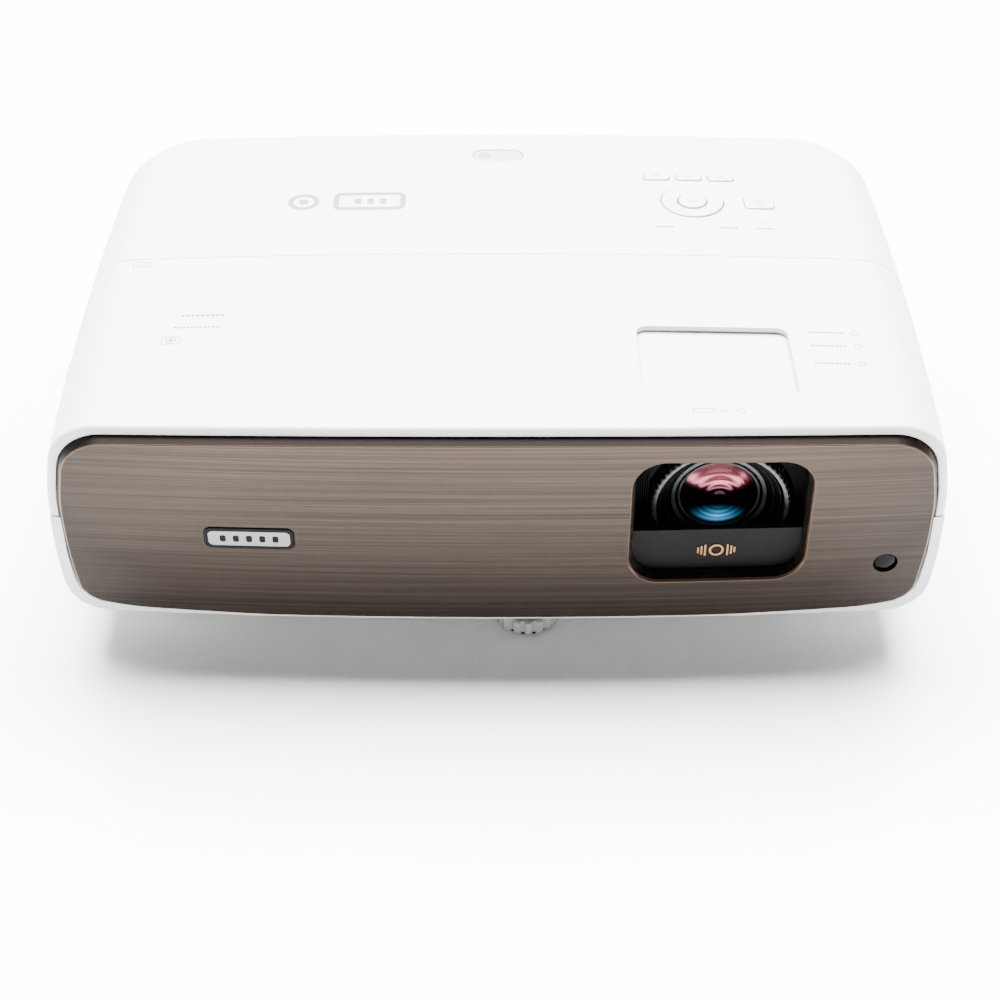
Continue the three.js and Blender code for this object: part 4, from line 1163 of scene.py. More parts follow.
# ------------------------------------------------------------------ front panel
@dataclass
class FrontPanel:
    """The bronze panel with its window, receiver and nameplate."""

    gap: float = 0.3
    depth: float = 6.2
    step: float = 1.7
    wall: float = 4.2
    edge: float = 0.55
    window_x: float = 93.8
    window_z: float = 78.5
    window_width: float = 76.0
    window_height: float = 65.4
    window_radius: float = 14.0
    window_taper: float = 2.2
    plate_x: float = -105.0
    plate_z: float = 70.4
    bar_pitch: float = 5.6
    receiver_x: float = 166.8
    receiver_z: float = 53.2
    receiver_radius: float = 5.0

    def window_row(self, grow: float, depth: float) -> list[Vector]:
        """Returns the window's outline, grown, at a depth behind the face."""
        corners = rectangle(
            self.window_x,
            self.window_z,
            self.window_width + 2 * grow,
            self.window_height + 2 * grow,
            self.window_radius + grow,
            10,
            8,
        )
        return [Vector((spot.u, depth, spot.v)) for spot in rounded(corners)]

    def build_sheet(self) -> None:
        """Builds the panel flat, opens it, then bends it to the front's curve."""
        spots = FORM.panel_outline()
        inner = self.gap + self.step
        section = [(inner, self.depth), (inner, self.edge)]
        for k in range(1, 5):
            turn = math.pi / 2 * k / 4
            section.append((inner + self.edge * (1 - math.cos(turn)), self.edge * (1 - math.sin(turn))))
        mesh = sliced(loft(rows_of(spots, Axis.Y, section)), Axis.X, -186, 186, 6)
        item = to_object("front_panel_sheet", mesh)
        window = loft([self.window_row(0.4, -1), self.window_row(-self.window_taper, self.depth + 1)])
        eye = rounded(rectangle(self.receiver_x, self.receiver_z, 10.6, 10.6, 5.29, 10))
        plate = rounded(rectangle(self.plate_x, self.plate_z, 38.6, 11.6, 3.3, 6))
        carve(item, [window, slab(eye, Axis.Y, -1, 8), slab(plate, Axis.Y, -1, 0.9)])
        soften(item, 0.3, 50)
        bend(item, FORM.on_face)
        dress(item, BRONZE, stands_for=["front_panel"], sharp=25)

    def build_trims(self) -> None:
        """Builds the panel's flank, darkened as painted shade, and the polished edges round panel and window,
        their lighter colour partly a painted highlight.
        """
        spots = FORM.panel_outline()
        inner = self.gap + self.step
        inside = inner + 0.3
        outside = ((self.gap, self.depth), (self.gap, self.wall))
        section = (*outside, (inner, 0.6), (inside, 0.6), (inside, self.depth))
        self.face_piece("front_panel_flank", hoop(spots, Axis.Y, section), BRONZE_PAINTED_SHADE)
        size, lift = 0.5, 0.03
        section = ((-lift, size), (-lift, 0.2), (0.2, -lift), (size, -lift), (size, 0.3), (0.3, size))
        section = [(inner + inset, depth) for inset, depth in section]
        self.face_piece("front_panel_edge", hoop(spots, Axis.Y, section), CHAMPAGNE)
        lip = ((-0.36, 0.6), (-0.36, 6.9), (0.3, 6.9), (0.3, 1.0))
        edge = ((0.3, -0.03), (0.1, 0.0), (-0.35, 0.45), (-0.35, 0.7), (0.3, 0.4))
        for name, section, finish in (("window_lip", lip, BRONZE_LIP), ("window_edge", edge, CHAMPAGNE)):
            rows = [self.window_row(grow, depth) for grow, depth in section]
            self.face_piece(name, loft(rows, ring=True, capped=False), finish)

    def face_piece(self, name: str, mesh: bmesh.types.BMesh, finish: Finish, nodes: Sequence[str] = ()) -> None:
        """Bends a flat mesh to the front's curve and dresses it.

        Args:
            name: the piece's name.
            mesh: the mesh, as (x, depth behind the face, z).
            finish: its surface.
            nodes: frame nodes that it stands for.
        """
        dress(bend(to_object(name, mesh), FORM.on_face), finish, stands_for=nodes)

    def build_plate(self) -> None:
        """Builds a plain nameplate: a dark frame round a bright oval bar."""
        base = rounded(rectangle(self.plate_x, self.plate_z, 38, 11, 3, 8))
        self.face_piece("nameplate_base", slab(base, Axis.Y, 0.8, -0.45, 0.35), BADGE_DARK, ["nameplate"])
        face = rounded(rectangle(self.plate_x, self.plate_z, 35, 8, 2.4, 8))
        self.face_piece("nameplate_face", slab(face, Axis.Y, 0.2, -0.62, 0.3), CHROME)
        bars = []
        for k in range(-2, 3):
            bar = rounded(rectangle(self.plate_x + k * self.bar_pitch, self.plate_z, 2.6, 3.4, 0.8, 4))
            bars.append(slab(bar, Axis.Y, 0, -0.7, 0.1))
        self.face_piece("nameplate_bars", merged(bars), BADGE_DARK)

    def build_receiver(self) -> None:
        """Builds the round infrared window."""
        centre = (self.receiver_x, 0, self.receiver_z)
        radius = self.receiver_radius
        dome = [(0, 0.5), (radius * 0.5, 0.58), (radius * 0.85, 0.85), (radius, 1.5), (radius, 3), (0, 3)]
        eye = turned(dome, Axis.Y, centre, 40)
        self.face_piece("receiver_window", eye, BLACK_GLOSS, ["front_receiver_window"])

    def build(self) -> None:
        """Builds the panel and what sits in it."""
        self.build_sheet()
        self.build_trims()
        self.build_plate()
        self.build_receiver()


# ------------------------------------------------------------------ access door and keypad
@dataclass
class AccessDoor:
    """The sliding door over the lens controls, sunk below the cover."""

    x: float = 91.7
    y: float = -77.5
    width: float = 65.0
    length: float = 50.0
    radius: float = 5.0
    pull_setback: float = 2.2

    def opening(self) -> bmesh.types.BMesh:
        """Returns the cutter for the door's opening in the cover."""
        spots = rounded(rectangle(self.x, self.y, self.width, self.length, self.radius, 8))
        return slab(spots, Axis.Z, *COVER_CUT)

    def build(self) -> None:
        """Builds the door's plate and its raised pull."""
        low, high = box_mm("access_door")
        top = high.z - 1.6
        tilt = math.atan2(FORM.top_z(self.x + 30) - FORM.top_z(self.x - 30), 60)
        plan = rectangle(self.x, (low.y + high.y) / 2, high.x - low.x, high.y - low.y, 3.2, 6)
        sheet = to_object("access_door_plate", slab(rounded(plan), Axis.Z, top - 1.6, top, 0.3))
        front, cover = low.y + self.pull_setback, FORM.top_z(self.x)
        corners = [
            Corner(self.x - 10, top - 0.3, 0.2, 2),
            Corner(self.x + 10, top - 0.3, 0.2, 2),
            Corner(self.x + 7.8, cover, 1.2, 5),
            Corner(self.x - 7.8, cover, 1.2, 5),
        ]
        pull = slab(rounded(corners), Axis.Y, front + 1.7, front, 0.35, 3)
        grip = to_object("access_door_pull", pull)

        def leaned(point: Vector) -> Vector:
            return Vector((point.x, point.y, point.z + math.tan(tilt) * (point.x - self.x)))

        dress(bend(sheet, leaned), WHITE_ABS, "access_door", ["access_door"])
        dress(bend(grip, leaned), WHITE_ABS, "access_door")


@dataclass(frozen=True)
class Key:
    """A key cap: the body that it rides on, and its outline in plan."""

    body: str
    x: float
    y: float
    width: float
    depth: float


@dataclass
class Keypad:
    """Navigation ring, centre key, four key caps, status lights and the pill window."""

    x: float = 91.8
    y: float = 53.7
    ring: float = 14.5
    bore: float = 7.3
    centre: float = 6.4
    gap: float = 0.45
    pill_x: float = 0.3
    pill_y: float = 96.5
    pill_length: float = 24.3
    pill_width: float = 10.8
    sensor_x: float = -6.2
    lights: tuple[float, ...] = (76.8, 106.5, 123.2)
    light_y: float = 35.1
    keys: tuple[Key, ...] = (
        Key("source_key", 76.2, 76.4, 12.2, 6.6),
        Key("menu_key", 91.6, 76.4, 12.2, 6.6),
        Key("back_key", 107.0, 76.4, 12.2, 6.6),
        Key("power_key", 123.2, 53.0, 13.6, 10.4),
    )

    def openings(self) -> list[bmesh.types.BMesh]:
        """Returns cutters for every opening of the keypad."""
        cutters = []
        for key in self.keys:
            corners = rectangle(key.x, key.y, key.width + 2 * self.gap, key.depth + 2 * self.gap, 2.3, 5)
            cutters.append(slab(rounded(corners), Axis.Z, *COVER_CUT))
        cutters.append(drum(Axis.Z, (self.x, self.y, 112), self.ring + 0.6, *COVER_CUT, 64))
        for x in self.lights:
            cutters.append(drum(Axis.Z, (x, self.light_y, 112), 1.3, *COVER_CUT, 16))
        cutters.append(slab(rounded(self.pill(0.3)), Axis.Z, *COVER_CUT))
        return cutters

    def pill(self, grow: float) -> list[Corner]:
        """Returns the pill window's outline."""
        width = self.pill_width + 2 * grow
        return rectangle(self.pill_x, self.pill_y, self.pill_length + 2 * grow, width, width / 2 - 0.01, 10)

    def build_keys(self) -> None:
        """Builds the four key caps with softly rounded tops."""
        for key in self.keys:
            low, high = box_mm(key.body)
            spots = rounded(rectangle(key.x, key.y, key.width, key.depth, 2.0, 6))
            cap = slab(spots, Axis.Z, low.z, high.z - 0.02, 0.55, 4)
            dress(cap, WHITE_KEYS, key.body, [key.body], f"{key.body}_cap")

    def build_ring(self) -> None:
        """Builds the navigation ring, its soft cushion and the domed centre key."""
        low, high = box_mm("navigation_ring")
        top, bottom = high.z, low.z
        outer, bore = self.ring, self.bore
        turns = (0, 0.4, 0.8, 1.2, 1.57)
        edge = [(outer - 0.7 + 0.7 * math.sin(a), top - 0.7 + 0.7 * math.cos(a)) for a in turns]
        mouth = [(bore, bottom), (bore, top - 0.9), (bore + 0.25, top - 0.62), (bore + 0.8, top - 0.5)]
        profile = [*mouth, *edge, (outer, bottom)]
        mesh = turned(profile, Axis.Z, (self.x, self.y, bottom), 96)
        dress(mesh, WHITE_KEYS, "navigation_ring", ["navigation_ring"], "navigation_ring_cap")
        low, high = box_mm("navigation_cushion")
        folds = [(bore + 1, low.z), (bore + 1, high.z)]
        count = 5
        for k in range(count + 1):
            height = high.z - (high.z - low.z) * k / count
            folds.append((outer - 2 - (0.7 if k % 2 else 0.0), height))
        mesh = turned(folds, Axis.Z, (self.x, self.y, low.z), 48)
        dress(mesh, RUBBER, "navigation_cushion", ["navigation_cushion"], "navigation_bellows")
        low, high = box_mm("ok_key")
        top, radius = high.z, self.centre
        crown = [(radius * 0.5, top - 0.05), (radius * 0.85, top - 0.18), (radius - 0.1, top - 0.4)]
        dome = [(0, low.z), (0, top), *crown, (radius, top - 0.8), (radius, low.z)]
        mesh = turned(dome, Axis.Z, (self.x, self.y, low.z), 64)
        dress(mesh, WHITE_KEYS, "ok_key", ["ok_key"], "ok_key_cap")

    def build_marks(self) -> None:
        """Prints arrows on the ring, a circle on the centre key and plain signs on the caps."""
        top = box_mm("navigation_ring")[1].z - 0.5
        reach = (self.bore + self.ring) / 2
        for k, (dx, dy) in enumerate(((0, 1), (1, 0), (0, -1), (-1, 0))):
            spot = Vector((self.x + dx * reach, self.y + dy * reach, top + 0.12))
            dress(triangle(spot, 1.5, math.atan2(dy, dx)), INK, "navigation_ring", name=f"arrow_{k}")
        top = box_mm("ok_key")[1].z
        profile = [(2.0, top - 0.1), (2.0, top), (2.35, top), (2.35, top - 0.1)]
        dress(turned(profile, Axis.Z, (self.x, self.y, top), 40), INK, "ok_key", name="ok_mark")
        *signed, power = self.keys
        top = box_mm(power.body)[1].z - 0.02
        dress(power_sign(Vector((power.x, power.y, top)), 2.2), INK_DARK, power.body, name="power_mark")
        for key in signed:
            top = box_mm(key.body)[1].z
            lows = [key.y - 0.9 + 0.75 * k for k in range(3)]
            bars = [block((key.x - 1.6, y, top - 0.1), (key.x + 1.6, y + 0.3, top)) for y in lows]
            dress(merged(bars), INK, key.body, name=f"{key.body}_mark")

    def build_lights(self) -> None:
        """Builds the three light pins and the pill window with its sensor dot."""
        pins = []
        for x in self.lights:
            top = FORM.top_z(x) - 0.05
            profile = [(0, 116), (1.1, 116), (1.1, top - 0.25), (0.8, top), (0, top + 0.02)]
            pins.append(turned(profile, Axis.Z, (x, self.light_y, 116), 24))
        dress(merged(pins), LIGHT_PIPE, stands_for=["status_light_pipe"], name="status_pins")
        low, high = box_mm("top_receiver_window")
        pill = slab(rounded(self.pill(-0.05)), Axis.Z, low.z, high.z, 0.5, 4)
        dress(pill, PALE, stands_for=["top_receiver_window"], name="pill_window")
        top = high.z
        profile = [(0, top - 0.3), (3.1, top - 0.3), (3.1, top + 0.02), (2.7, top + 0.04), (0, top + 0.04)]
        dot = turned(profile, Axis.Z, (self.sensor_x, self.pill_y, top), 40)
        dress(dot, SENSOR, name="pill_sensor")

    def build(self) -> None:
        """Builds the whole keypad."""
        self.build_keys()
        self.build_ring()
        self.build_marks()
        self.build_lights()


def triangle(place: Vector, size: float, turn: float) -> bmesh.types.BMesh:
    """A thin printed triangle that points along a direction.

    Args:
        place: its middle, in millimetres.
        size: distance from the middle to a point.
        turn: direction in the XY plane, in radians.

    Returns:
        The mesh, in metres.
    """
    mesh = bmesh.new()
    radius = size * MM
    bmesh.ops.create_cone(mesh, cap_ends=True, segments=3, radius1=radius, radius2=radius, depth=0.16 * MM)
    turned_by = Matrix.Rotation(turn - math.pi / 2, 3, "Z")
    bmesh.ops.rotate(mesh, verts=mesh.verts, matrix=turned_by, cent=(0, 0, 0))
    bmesh.ops.translate(mesh, verts=mesh.verts, vec=place * MM)
    return mesh


def power_sign(place: Vector, radius: float) -> bmesh.types.BMesh:
    """The usual stand-by sign: a ring open at its top, with a bar through the opening."""
    width, height = 0.42, 0.1
    mesh = bmesh.new()
    corners = ((radius, -height), (radius, 0.02), (radius - width, 0.02), (radius - width, -height))
    verts = [mesh.verts.new((place + Vector((x, 0, z))) * MM) for x, z in corners]
    edges = [mesh.edges.new(pair) for pair in zip(verts, verts[1:] + verts[:1])]
    start = math.radians(125)
    bmesh.ops.rotate(mesh, verts=verts, matrix=Matrix.Rotation(start, 3, "Z"), cent=place * MM)
    bmesh.ops.spin(mesh, geom=verts + edges, cent=place * MM, axis=(0, 0, 1), angle=math.radians(290), steps=30)
    bmesh.ops.holes_fill(mesh, edges=[edge for edge in mesh.edges if edge.is_boundary], sides=0)
    bmesh.ops.recalc_face_normals(mesh, faces=mesh.faces)
    half = width / 2
    low = (place.x - half, place.y + 0.4, place.z - height)
    return merged([mesh, block(low, (place.x + half, place.y + radius + 0.5, place.z + 0.02))])


# ------------------------------------------------------------------ lens
@dataclass
class Lens:
    """The projection lens behind its window: shroud, toothed focus ring, stepped rings and front glass."""

    x: float = 95.0
    z: float = 71.0
    focus_radius: float = 30.0
    teeth: int = 60
    tooth: float = 0.9
    plate_top: float = 69.4
    ripple: float = 0.16
    ripples: int = 5
    glass: float = 16.4
    glass_rise: float = 4.6
    shroud_depth: float = 26.5
    barrel_swing: float = 29.4
    focus_swing: float = 33.4

    def centre(self, y: float) -> tuple[float, float, float]:
        """Returns the point of the lens axis at a depth."""
        return (self.x, y, self.z)

    def ring(
        self,
        name: str,
        profile: Sequence[tuple[float, float]],
        finish: Finish,
        body: str,
        nodes: Sequence[str] = (),
    ) -> None:
        """Builds one turned ring of the lens.

        Args:
            name: the piece's name.
            profile: (radius, Y) of each corner.
            finish: its surface.
            body: the frame body that it rides on.
            nodes: frame nodes that it stands for.
        """
        dress(turned(profile, Axis.Y, self.centre(profile[0][1]), 96), finish, body, nodes, name)

    def build_focus_ring(self) -> None:
        """Builds the focus ring: teeth round the rim, and steps inside its mouth."""
        low, high = box_mm("focus_ring")
        y0, y1 = low.y, high.y
        steps, middle = self.teeth * 6, (self.x, self.z)
        rows = []
        for inset, y in ((0.9, y1), (0.0, y1), (0.0, y0 + 0.9), (0.35, y0 + 0.25), (0.9, y0)):
            radii = [self.focus_radius - inset - self.tooth * (1 - wave) for wave in (1, 1, 0.6, 0, 0, 0.6)]
            rows.append(circle(middle, radii, steps, Axis.Y, y))
        for radius, y in ((28.9, y0), (27.3, y0 + 0.5), (27.1, y0 + 0.8), (27.1, y1)):
            rows.append(circle(middle, radius, steps, Axis.Y, y))
        mesh = loft(rows, ring=True, capped=False)
        dress(mesh, LENS_BLACK, "focus_ring", ["focus_ring"], "focus_ring_teeth", 50)
        # A lighter band on the focus ring's front face: painted light for the lit face.
        band = [(28.9, y0 + 0.3), (28.8, y0 - 0.05), (27.5, y0 + 0.3), (27.5, y0 + 0.6)]
        self.ring("focus_ring_painted_lit_band", band, LENS_BAND, "focus_ring")

    def build_zoom_ring(self) -> None:
        """Builds the zoom ring with its ribs and its lever."""
        low, high = box_mm("zoom_ring")
        y0, y1 = low.y, high.y
        outer = 28.9
        profile = [(27.1, y0), (outer - 0.5, y0), (outer, y0 + 0.5)]
        for k in range(5):
            y = y0 + 2 + 1.6 * k
            profile += [(outer, y - 0.3), (outer - 0.4, y - 0.15), (outer - 0.4, y + 0.15), (outer, y + 0.3)]
        profile += [(outer, y1 - 0.5), (outer - 0.5, y1), (27.1, y1)]
        self.ring("zoom_ring_ribbed", profile, LENS_BLACK, "zoom_ring", ["zoom_ring"])
        plan = rounded(rectangle(self.x, (y0 + y1) / 2, 6.6, y1 - y0 - 0.6, 1.5, 5))
        dress(slab(plan, Axis.Z, self.z + 27.6, high.z, 0.8, 3), LENS_BLACK, "zoom_ring", name="zoom_lever")

    def build_barrel(self) -> None:
        """Builds the barrel's stepped cone with its bright rings, and the rippled glass in it, coloured by a
        painted reflection and a painted highlight.
        """
        low, high = box_mm("lens_barrel")
        y = low.y
        cone = [(26.3, high.y), (26.3, y + 0.4), (26.0, y), (25.4, y)]
        for k in range(6):
            radius = 25.2 - 0.72 * k
            cone += [(radius, y + 0.6 + 0.75 * k), (radius - 0.5, y + 0.7 + 0.75 * k)]
        cone += [(20.6, y + 5.4), (20.6, high.y)]
        self.ring("lens_barrel_cone", cone, LENS_MATTE, "lens_carriage", ["lens_barrel"])
        for radius, depth, width in ((25.9, -0.05, 0.35), (23.4, 2.2, 0.3), (20.4, 4.9, 1.5), (17.6, 5.6, 0.9)):
            face, bore = y + depth, radius - width
            band = [(radius, face + 0.9), (radius, face), (bore, face + 0.25), (bore, face + 0.9)]
            self.ring(f"lens_ring_{int(radius)}", band, LENS_BAND, "lens_carriage")
        inner = [(20.5, y + 6), (18.8, y + 5.9)]
        for k in range(3):
            inner += [(18.7 - 0.7 * k, y + 6.2 + 0.3 * k), (18.2 - 0.7 * k, y + 6.25 + 0.3 * k)]
        inner += [(16.2, y + 7.4), (16.2, y + 8.4), (20.5, y + 8.4)]
        self.ring("lens_inner_cone", inner, LENS_MATTE, "lens_carriage")
        edge_y, rise, radius = y + 7.6, self.glass_rise, self.glass
        dome = [(0.0, edge_y - rise)]
        count = 48
        for k in range(1, count + 1):
            share = k / count
            ripple = self.ripple * math.sin(math.tau * self.ripples * share) * (1 - share)
            dome.append((radius * share, edge_y - rise * (1 - share**2) + ripple))
        dome += [(radius, edge_y + 1.2), (0.0, edge_y + 1.2)]
        self.ring("front_glass_dome", dome, PAINTED_REFLECTION_GLASS, "lens_carriage", ["front_glass"])

    def build_shroud(self) -> None:
        """Builds the dark box behind the window and its plate, clear of the lens as it shifts."""
        panel = FrontPanel()
        deep = self.shroud_depth
        rows = [panel.window_row(a, b) for a, b in ((2.2, 6.3), (2.2, deep), (-0.4, deep), (-0.4, 6.3))]
        walls = bend(to_object("shroud_walls", loft(rows, ring=True, capped=False)), FORM.on_face)
        low, _ = box_mm("focus_ring")
        front, step, rear = -106, low.y - 0.5, -80
        narrow, wide = self.barrel_swing, self.focus_swing
        profile = [(0, front), (narrow, front), (narrow, step), (wide, step), (wide, rear), (0, rear)]
        carve(walls, [turned(profile, Axis.Y, self.centre(front), 96)])
        dress(walls, SHROUD, stands_for=["lens_shroud"])
        sheet = to_object("shroud_rear", loft([panel.window_row(2.0, deep - 2.4), panel.window_row(2.0, deep)]))
        carve(sheet, [drum(Axis.Y, self.centre(0), 32.6, 0, 60, 96)])
        dress(bend(sheet, FORM.on_face), SHROUD)
        plate = to_object("shroud_plate", loft([panel.window_row(-0.2, 7.2), panel.window_row(-0.2, 10.2)]))
        carve(plate, [block((0, -40, self.plate_top), (300, 60, 200))])
        soften(plate, 0.4)
        dress(bend(plate, FORM.on_face), SHROUD_PLATE)

    def build_ribs(self) -> None:
        """Builds the fine upright ribs on the left of the shroud."""
        ribs = []
        for k in range(9):
            x = 56.4 + 0.95 * k
            ribs.append(block((x, 22.5, 60), (x + 0.5, 24.3, 106 - 0.3 * k), 0.1, 1))
        dress(bend(to_object("shroud_ribs", merged(ribs)), FORM.on_face), SHROUD)

    def build_mark(self) -> None:
        """Builds a plain gold mark on the shroud's plate: a ring between two sets of three bars."""
        x, z = 94.0, 58.0
        parts = [turned([(2.3, -0.3), (3.2, -0.3), (3.2, 0.2), (2.3, 0.2)], Axis.Y, (x, -0.3, z), 40)]
        for way in (-1, 1):
            for reach, rise in ((4.4, 3.2), (6.0, 2.4), (7.4, 1.6)):
                low, high = sorted((x + way * reach, x + way * (reach + 0.8)))
                parts.append(block((low, -0.3, z - rise), (high, 0.2, z + rise), 0.1))
        mark = to_object("shroud_mark", merged(parts))
        for vert in mark.data.vertices:
            vert.co.y += 7.2 * MM
        dress(bend(mark, FORM.on_face), GOLD, stands_for=["shroud_emblem"])

    def build(self) -> None:
        """Builds the whole lens."""
        self.build_shroud()
        self.build_ribs()
        self.build_mark()
        self.build_focus_ring()
        self.build_zoom_ring()
        self.build_barrel()


# ------------------------------------------------------------------ feet
@dataclass
class Foot:
    """A screwed foot: a scalloped, dished wheel over a rubber pad."""

    name: str
    x: float
    y: float
    radius: float
    notches: int = 14
    notch: float = 1.7

    def build_wheel(self) -> None:
        """Builds the wheel: U-shaped notches round its rim and a dished top."""
        low, high = box_mm(f"{self.name}_wheel")
        body = f"{self.name}_wheel"
        z0 = low.z
        z1 = z0 + 6.4
        steps = self.notches * 12
        wave = (0, 0, 0, 0, 0, 0.25, 0.75, 1, 1, 0.75, 0.25, 0)
        middle = (self.x, self.y)
        rims = ((0.5, z0, 0.9), (0, z0 + 0.5, 1), (0, z1 - 0.8, 1), (0.25, z1 - 0.25, 0.9), (0.8, z1, 0.6))
        rows = []
        for inset, z, deep in rims:
            radii = [self.radius - inset - self.notch * deep * share for share in wave]
            rows.append(circle(middle, radii, steps, Axis.Z, z))
        dish = ((self.radius - 2.6, z1), (self.radius - 4.2, z1 - 1.1), (6.6, z1 - 1.3), (5.6, z1 - 1.3))
        for radius, z in dish:
            rows.append(circle(middle, radius, steps, Axis.Z, z))
        dress(loft(rows), WHITE_FEET, body, [body], f"{self.name}_scalloped", 40)
        stem = []
        top = high.z
        for k in range(int(top - z1)):
            z = z1 + k
            stem += [(4.9, z), (5.4, z + 0.35), (5.4, z + 0.55), (4.9, z + 0.9)]
        profile = [(0, z1 - 1.5), (5.0, z1 - 1.5), *stem, (4.9, top), (0, top)]
        dress(turned(profile, Axis.Z, (self.x, self.y, z1), 40), STEEL, body, name=f"{self.name}_thread")

    def build_pad(self) -> None:
        """Builds the rubber pad with its rings."""
        node = f"{self.name}_pad"
        low, high = box_mm(node)
        radius = (high.x - low.x) / 2
        rings = [(0, high.z), (radius - 0.3, high.z), (radius, high.z - 0.3), (radius, 0.5), (radius - 0.5, 0.02)]
        for k in range(3):
            reach = radius - 2 - 2.2 * k
            rings += [(reach, 0.02), (reach - 0.3, 0.5), (reach - 0.9, 0.5), (reach - 1.2, 0.02)]
        rings.append((0, 0.02))
        dress(turned(rings, Axis.Z, (self.x, self.y, 0), 48), RUBBER, self.name, [node], f"{self.name}_rubber")

    def build(self) -> None:
        """Builds the foot."""
        self.build_wheel()
        self.build_pad()


# ------------------------------------------------------------------ rear panel
@dataclass(frozen=True)
class Socket:
    """A socket's place on the rear panel and the size of its mouth."""

    node: str
    x: float
    width: float
    height: float
    z: float = JACK_Z


@dataclass
class RearPanel:
    """The charcoal rear panel with its row of sockets."""

    z: float = 66.0
    width: float = 300.0
    height: float = 64.0
    y: float = 130.2
    serial_pitch: float = 2.77
    sockets: tuple[Socket, ...] = (
        Socket("hdmi_port_1", 118, 14.4, 5.0),
        Socket("hdmi_port_2", 92, 14.4, 5.0),
        Socket("usb_port_1", 68, 12.6, 5.4),
        Socket("usb_port_2", 44, 12.6, 5.4),
    )
    jacks: tuple[tuple[str, float], ...] = (("audio_jack", -42.0), ("trigger_jack", -58.0))

    def opening(self) -> bmesh.types.BMesh:
        """Returns the cutter for the panel's opening in the casing."""
        spots = rounded(rectangle(0, self.z, self.width, self.height, 5, 6))
        return slab(spots, Axis.Y, 118, 140)

    def build_sheet(self) -> None:
        """Builds the panel's sheet, open at each socket, with a raised rib round it."""
        spots = rounded(rectangle(0, self.z, self.width - 0.8, self.height - 0.8, 4.6, 6))
        sheet = to_object("rear_panel_sheet", slab(spots, Axis.Y, 127.6, self.y, 0.4))
        carve(sheet, self.holes())
        soften(sheet, 0.25)
        dress(sheet, CHARCOAL, stands_for=["rear_panel"])
        y = self.y - 0.05
        section = ((3, y), (3, y + 0.5), (3.8, y + 0.7), (4.6, y + 0.5), (4.6, y))
        dress(hoop(spots, Axis.Y, section), CHARCOAL, name="rear_panel_rib")

    def holes(self) -> list[bmesh.types.BMesh]:
        """Returns cutters for all socket openings."""
        cutters = []
        for node in ("mains_inlet", "serial_port", "optical_port"):
            low, high = box_mm(node)
            mouth = rectangle(*middle_of(low, high), high.x - low.x + 0.4, high.z - low.z + 0.4, 1, 3)
            cutters.append(slab(rounded(mouth), Axis.Y, *REAR_CUT))
        for socket in self.sockets:
            spots = rounded(rectangle(socket.x, socket.z, socket.width + 1.6, socket.height + 1.8, 0.8, 3))
            cutters.append(slab(spots, Axis.Y, *REAR_CUT))
        for _, x in self.jacks:
            cutters.append(drum(Axis.Y, (x, 120, JACK_Z), 4.2, *REAR_CUT, 32))
        return cutters

    def build_tongue_socket(self, socket: Socket) -> None:
        """Builds a folded steel shell with a tongue and its contacts."""
        y = box_mm(socket.node)[1].y - 0.1
        back = y - 11
        spots = rounded(rectangle(socket.x, socket.z, socket.width + 1.2, socket.height + 1.2, 0.7, 3))
        section = ((0, back), (0, y - 0.2), (0.15, y), (0.45, y), (0.6, y - 0.2), (0.6, back))
        dress(hoop(spots, Axis.Y, section), STEEL, stands_for=[socket.node], name=f"{socket.node}_shell")
        half = socket.width / 2
        tongue = [
            block((socket.x - half, back, socket.z - 3), (socket.x + half, back + 1, socket.z + 3)),
            block((socket.x - half + 2, back, socket.z - 0.2), (socket.x + half - 2, y - 1, socket.z + 1.1), 0.2),
        ]
        dress(merged(tongue), SOCKET_BLACK, name=f"{socket.node}_tongue")
        count = 9 if socket.node.startswith("hdmi") else 4
        pitch = (socket.width - 5) / (count - 1)
        wide = pitch * 0.28
        pins = []
        for k in range(count):
            x = socket.x - (socket.width - 5) / 2 + k * pitch
            pins.append(block((x - wide, back + 1, socket.z - 0.32), (x + wide, y - 1.6, socket.z - 0.18)))
        dress(merged(pins), BRASS_PIN, name=f"{socket.node}_contacts")

    def build_mains(self) -> None:
        """Builds the three-pin appliance inlet."""
        low, high = box_mm("mains_inlet")
        x, z = middle_of(low, high)
        y = high.y
        w, h = high.x - low.x, high.z - low.z
        corners = [
            Corner(x - w / 2, z - h / 2, 1.5, 4),
            Corner(x + w / 2, z - h / 2, 1.5, 4),
            Corner(x + w / 2, z + h / 2 - 3.5, 1, 3),
            Corner(x + w / 2 - 4, z + h / 2, 1, 3),
            Corner(x - w / 2 + 4, z + h / 2, 1, 3),
            Corner(x - w / 2, z + h / 2 - 3.5, 1, 3),
        ]
        section = ((0, y - 14), (0, y - 0.4), (0.4, y), (1.6, y), (2.0, y - 0.4), (2.0, y - 12))
        shell = loft(rows_of(rounded(corners), Axis.Y, section))
        dress(shell, SOCKET_BLACK, stands_for=["mains_inlet"], name="mains_inlet_shell")
        pins = []
        for px, pz in ((x - 7, z - 1), (x, z + 2), (x + 7, z - 1)):
            pins.append(block((px - 1, y - 12, pz - 2.2), (px + 1, y - 2.5, pz + 2.2), 0.4))
        dress(merged(pins), BRASS_PIN, name="mains_pins")

